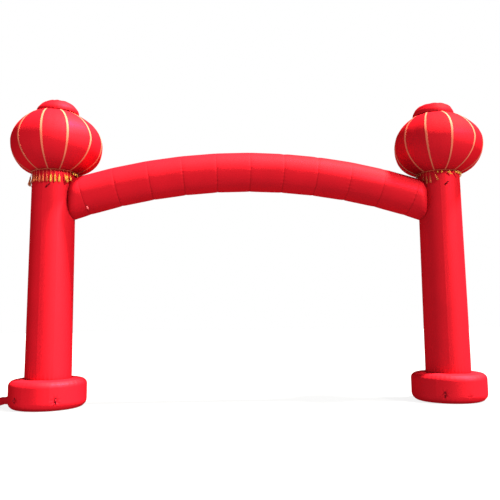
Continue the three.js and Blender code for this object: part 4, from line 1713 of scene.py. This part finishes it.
# ---- Inflation sleeve ----
@dataclass(frozen=True)
class Sleeve:
    """The inflation sleeve: a hollow tube of thin cloth that sags to the floor, with a hemmed mouth."""

    radius: float = 0.067
    wall: float = 0.0025
    wall_inset: float = 0.0004
    hem: float = 0.003
    hem_length: float = 0.045
    hem_step: float = 0.001
    hem_stitch: float = 0.003
    end_inset: float = 0.002
    flatten: float = 0.94
    outs: tuple[float, ...] = (0.575, 0.65, 0.69, 0.74, 0.8, 0.86, 0.91, 1.09)
    heights: tuple[float, ...] = (0.123, 0.122, 0.118, 0.11, 0.094, 0.077, 0.069, 0.0675)
    sizes: tuple[float, ...] = (1, 1, 0.86, 1, 1.02, 1, 1, 1)
    pinch_out: float = 0.69
    pinch_width: float = 0.03
    pinch_depth: float = 0.002
    fold: float = 0.0016
    floor_out: float = 0.88
    floor_reach: float = 0.05
    floor_turn: float = 0.5
    flat_girth: float = 0.43
    flat_length: float = 0.49
    body_rows: int = 60
    hem_rows: int = 12
    rim_rows: int = 5
    columns: int = 96

    def ring(self, out: Array, turn: Array, extra: Array) -> Array:
        """Points about the sagging line: -radius sin t sideways, -radius flatten cos t up and down.

        Args:
            out: distances from the foot's axis.
            turn: angles about the sleeve, from below.
            extra: metres by which the surface lies off the inside.

        Returns:
            The points, with small lengthwise folds and a gather where the sleeve is creased, and without
            folds where it lies on the floor.
        """
        height = np.interp(out, self.outs, self.heights)
        size = np.interp(out, self.outs, self.sizes)
        pinch = bell(out - self.pinch_out, self.pinch_width)
        folds = self.fold * np.cos(9 * turn + 2 * np.sin(out * 9)) * (0.4 + 2.2 * pinch)
        folds = folds - self.pinch_depth * np.abs(np.sin(6 * turn + 1)) * pinch
        on_floor = np.clip((out - self.floor_out) / self.floor_reach, 0, 1)
        on_floor = on_floor * bell(turned_apart(turn, 0.0), self.floor_turn)
        radius = self.radius * size + extra + folds * (1 - on_floor)
        return coordinates(-out, -radius * np.sin(turn), height - radius * self.flatten * np.cos(turn))

    def surface(self) -> Weft:
        """The sleeve's skin.

        Returns:
            Its outside with the hem, the hem's turned edge, and its inside back to the foot.
        """
        low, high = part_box("blower_sleeve")
        start, mouth = -high.x + self.end_inset, -low.x
        hem = mouth - self.hem_length
        out = np.concatenate([np.linspace(start, hem - self.hem_step, self.body_rows),
                              hem + np.linspace(0, self.hem_length - self.end_inset, self.hem_rows)])
        past = np.clip((out - mouth + self.hem_length) / self.hem_step, 0, 1)[:, None]
        turn = around(self.columns)
        outside = self.ring(out[:, None], turn, self.wall + self.hem * past - self.wall_inset)
        edge = np.radians(np.linspace(0, 180, self.rim_rows + 2))[1:-1, None]
        rim = self.ring(mouth - self.end_inset + self.end_inset * np.sin(edge), turn,
                        (self.wall + self.hem) * (0.5 + 0.5 * np.cos(edge)))
        inside = self.ring(out[::-1, None], turn, np.zeros((len(out), 1)))
        points = np.concatenate([inside[-1:], outside, rim, inside])[:, ::-1]
        run = np.cumsum(np.linalg.norm(np.diff(points[:, 0], axis=0, prepend=points[:1, 0]), axis=-1))
        stitched = bell(points[:, :1, 0] + mouth - self.hem_length, self.hem_stitch)
        return Weft.tube(points, coordinates(girth(self.columns, self.radius), run[:, None]), stitched)

    def build(self, room: Workroom) -> None:
        """Sews the sleeve."""
        sleeve = room.sew("inflation_sleeve", "blower_sleeve", Slot.CLOTH, [self.surface()])


# ---- Tie loops ----
@dataclass(frozen=True)
class TieLoop:
    """A webbing strap stitched down at both ends and bowed out between them."""

    name: str
    point: Triple
    normal: Triple
    along: Triple
    # How much painted highlight lies on the strap's open part, from 0 to 1.
    glint_share: float = 0.0
    length: float = 0.096
    width: float = 0.025
    thickness: float = 0.0022
    stitched: float = 0.015
    stitched_fade: float = 0.004
    bow: float = 0.026
    seat_gap: float = 0.0005
    rows: int = 49
    columns: int = 16
    side_roundness: float = 0.25
    face_roundness: float = 0.4

    def surface(self) -> Weft:
        """The strap's skin.

        Returns:
            A flat section with rounded sides along a line whose height is bow cos^2 over its open length.
        """
        normal = unit(np.array(self.normal))
        length_way = np.array(self.along)
        length_way = unit(length_way - normal * (length_way @ normal))
        across_way = np.cross(length_way, normal)
        half = self.length / 2
        open_half = half - self.stitched
        place = np.linspace(-half, half, self.rows)
        rise = self.bow * np.cos(math.pi / 2 * np.clip(place / open_half, -1, 1)) ** 2
        lean = unit(normal - np.gradient(rise, place)[:, None] * length_way)
        cosine, sine = np.cos(around(self.columns)), np.sin(around(self.columns))
        wide = self.width / 2 * np.sign(cosine) * np.abs(cosine) ** self.side_roundness
        thick = self.thickness / 2 * np.sign(sine) * np.abs(sine) ** self.face_roundness
        middle = place[:, None] * length_way + (rise + self.seat_gap + self.thickness / 2)[:, None] * normal
        points = middle[:, None] + wide[:, None] * across_way + thick[:, None] * lean[:, None]
        points = points + np.array(self.point)
        run = with_ends(place)[:, None]
        # The glint_share lowers the mark on the open part, which paints the pale highlight there.
        sewn = np.clip((np.abs(run) - open_half) / self.stitched_fade, 0, 1) - self.glint_share
        return Weft.tube(lidded(points), coordinates(np.concatenate([wide, wide[:1]]), run), sewn)

    def build(self, room: Workroom) -> None:
        """Sews the loop."""
        room.sew(f"{self.name}_strap", self.name, Slot.WEBBING, [self.surface()])


# ---- Studio ----
@dataclass(frozen=True)
class Lamp:
    """A broad, far lamp: the way towards it, its irradiance and the angle that it fills."""

    name: str
    way: Triple
    irradiance: float
    spread: float
    colour: Triple
    distance: float = 30.0

    def build(self) -> None:
        """Hangs the lamp."""
        light = bpy.data.lights.new(self.name, "SUN")
        light.energy, light.angle, light.color = self.irradiance, math.radians(self.spread), self.colour
        lamp = bpy.data.objects.new(self.name, light)
        lamp.location = Vector(self.way) * self.distance
        lamp.rotation_euler = Vector(self.way).to_track_quat("Z", "Y").to_euler()
        bpy.context.scene.collection.objects.link(lamp)


@dataclass(frozen=True)
class Studio:
    """A pale floor, a white surround, soft lamps and the camera."""

    camera_place: Triple = (2.873, -9.957, 1.4076)
    pitch: float = 0.1183
    yaw: float = 0.050455
    roll: float = -0.0111338
    lens: float = 41.74
    sensor_width: float = 36.0
    clip_end: float = 200.0
    floor_half: float = 60.0
    surround: float = 1.0
    surround_colour: Colour = (1.0, 1.0, 1.0, 1.0)
    lamps: tuple[Lamp, ...] = (
        Lamp("overhead_lamp", (0.44, -0.08, 0.89), 42.0, 8.0, (1.0, 1.0, 0.85)),
        Lamp("front_lamp", (0.6, -0.62, 0.5), 8.0, 9.0, (1.0, 1.0, 0.9)),
    )

    def build(self) -> None:
        """Sets the studio up."""
        self.build_floor()
        for lamp in self.lamps:
            lamp.build()
        world = bpy.data.worlds.new("surround")
        world.use_nodes = True
        shade = world.node_tree.nodes["Background"].inputs
        shade["Color"].default_value = self.surround_colour
        shade["Strength"].default_value = self.surround
        bpy.context.scene.world = world
        bpy.context.scene.view_settings.view_transform = "Standard"
        self.build_camera()

    def build_floor(self) -> None:
        """Lays the floor under the feet."""
        mesh = bpy.data.meshes.new("floor")
        half = self.floor_half
        square = [(-half, -half, 0), (half, -half, 0), (half, half, 0), (-half, half, 0)]
        mesh.from_pydata(square, [], [(0, 1, 2, 3)])
        mesh.materials.append(Paper().make())
        floor = bpy.data.objects.new("floor", mesh)
        bpy.context.scene.collection.objects.link(floor)

    def build_camera(self) -> None:
        """Places the camera by its yaw, pitch and roll in radians."""
        level = math.cos(self.pitch)
        forward = Vector((math.sin(self.yaw) * level, math.cos(self.yaw) * level, math.sin(self.pitch)))
        right = forward.cross(Vector((0, 0, 1))).normalized()
        above = right.cross(forward)
        across = math.cos(self.roll) * right + math.sin(self.roll) * above
        upward = math.cos(self.roll) * above - math.sin(self.roll) * right
        lens = bpy.data.cameras.new("camera")
        lens.lens, lens.sensor_width, lens.clip_end = self.lens, self.sensor_width, self.clip_end
        camera = bpy.data.objects.new("camera", lens)
        turned = Matrix((across, upward, -forward)).transposed()
        camera.matrix_world = Matrix.Translation(Vector(self.camera_place)) @ turned.to_4x4()
        bpy.context.scene.collection.objects.link(camera)
        bpy.context.scene.camera = camera


# ---- The arch ----
@dataclass(frozen=True)
class Arch:
    """The whole arch, built piece by piece."""

    feet: tuple[FootDrum, ...]
    columns: dict[Half, Column]
    lanterns: dict[Half, Lantern]
    hangs: dict[Half, tuple[Hang, ...]]
    loops: tuple[TieLoop, ...]

    def build(self, room: Workroom) -> None:
        """Builds the feet, columns, cross tube, lanterns, fringes, sleeve and loops.

        Args:
            room: where the pieces are sewn.
        """
        tube = CrossTube(self.columns)
        for piece in (*self.feet, *self.columns.values(), tube):
            piece.build(room)
        for half, lantern in self.lanterns.items():
            lantern.build(room)
            Fringe(lantern, tube, self.hangs[half]).build(room)
        for piece in (Sleeve(), *self.loops):
            piece.build(room)


def the_feet() -> tuple[FootDrum, ...]:
    """The two feet.

    Returns:
        Each with its own lumps, folds and dimples.
    """
    return (
        FootDrum(
            Half.LEFT, 0.005, 0.4,
            (Fold(18.0, 0.004, 3.0), Fold(-24.0, 0.003, 4.0), Fold(62.0, 0.003, 3.0)),
            (Dimple(26.5, 0.167, 0.014, 0.035), Dimple(-34.7, 0.172, 0.008, 0.03)),
        ),
        FootDrum(
            Half.RIGHT, 0.009, 1.9,
            (Fold(-40.0, 0.004, 3.0), Fold(34.0, 0.006, 2.5), Fold(44.0, 0.005, 2.5)),
            (Dimple(-28.0, 0.158, 0.016, 0.035), Dimple(10.0, 0.12, 0.006, 0.03)),
        ),
    )


def the_columns() -> dict[Half, Column]:
    """The two columns.

    Returns:
        Each with its own ripple and creases.
    """
    return {
        Half.LEFT: Column(
            Half.LEFT, Ripple(31, 3, 8, reach=2.6),
            (Fold(-12.0, 0.003, 2.5), Fold(28.0, 0.003, 3.0), Fold(70.0, 0.0025, 3.0)),
        ),
        Half.RIGHT: Column(
            Half.RIGHT, Ripple(37, 3, 8, reach=2.6),
            (Fold(-18.0, 0.003, 2.5), Fold(24.0, 0.003, 3.0), Fold(64.0, 0.0025, 3.0)),
        ),
    }


def the_lanterns() -> dict[Half, Lantern]:
    """The two lanterns.

    Returns:
        Each with its own lean, seams and collar.
    """
    return {
        Half.LEFT: Lantern(
            Half.LEFT, 0.014, 0.03, -0.03, 0.05, -4,
            (Stray(0, 3, 0, -3), Stray(1, 0, 1, 2), Stray(2, -3, 3, -1), Stray(11, 4, -4, -5)),
            0.232, 2.6, 0.018,
        ),
        Half.RIGHT: Lantern(
            Half.RIGHT, 0.004, 0.011, -0.043, -0.003, -3,
            (Stray(0, -1, 0, 4), Stray(1, -4, 4, 2), Stray(10, 4, -2, -8), Stray(11, 2, -1, -5)),
            0.208, 4.0, 0.03,
        ),
    }


def the_hangs() -> dict[Half, tuple[Hang, ...]]:
    """How the tassels hang.

    Returns:
        For each lantern the stretches of azimuth, all the way round.
    """
    return {
        # The painted_shade shares paint shade on the tassels that hang in the lantern's shadow.
        Half.LEFT: (
            Hang(-180, -110, -4, 1),
            Hang(-110, -60, -13, 1, painted_shade=0.7),
            Hang(-60, -30, 3, 0.9, painted_shade=0.85),
            Hang(-30, -1, 1, 1, painted_shade=0.9),
            Hang(-1, 32, 1, 1),
            Hang(32, 42, 18, 1),
            Hang(42, 62, 2, 0.95),
            Hang(62, 118, 4, 1, bunched=True),
            Hang(118, 180, 2, 0.95),
        ),
        Half.RIGHT: (
            Hang(-180, -118, 8, 0.9),
            Hang(-118, -68, -4, 1, bunched=True, painted_shade=0.8),
            Hang(-68, -38, 2, 1, painted_shade=0.9),
            Hang(-38, -28, 24, 0.9, painted_shade=0.7),
            Hang(-28, -8, 6, 1, bunched=True),
            Hang(-8, 2, 56, 0.62),
            Hang(2, 12, 10, 1, bunched=True),
            Hang(12, 22, 70, 0.75),
            Hang(22, 104, -6, 1, bunched=True),
            Hang(104, 180, 15, 0.9),
        ),
    }


def the_loops() -> tuple[TieLoop, ...]:
    """The six tie loops.

    Returns:
        Each with the point where it is sewn, the way out of the cloth there and the way that it runs.
    """
    upright, slanting = (0, 0, 1), (1, 0, 1)
    return (
        TieLoop("loop_foot_left", (0.281, -0.5516, 0.167), (0.447, -0.895, 0), upright),
        TieLoop("loop_foot_left_outer", (-0.3656, -0.5032, 0.172), (-0.569, -0.822, 0), upright),
        TieLoop("loop_foot_right", (6.4807, -0.5482, 0.158), (-0.469, -0.883, 0), upright),
        TieLoop("loop_column_left", (0.0, -0.3586, 3.65), (0, -1, 0.005), slanting),
        TieLoop("loop_column_right", (COLUMN_SPACING, -0.3584, 3.695), (0, -1, 0.005), slanting),
        # This strap carries a painted highlight where it catches the light.
        TieLoop("loop_beam", (0.63269, -0.20901, 3.30764), (0.1875, -0.623, -0.7595),
                (0.1795, 0.7819, -0.597), glint_share=1.0),
    )


def main() -> None:
    """Builds the arch and the studio."""
    logging.basicConfig(level=logging.INFO, format="%(name)s: %(message)s")
    arch = Arch(the_feet(), the_columns(), the_lanterns(), the_hangs(), the_loops())
    arch.build(Workroom())
    Studio().build()


if __name__ == "__main__":
    main()
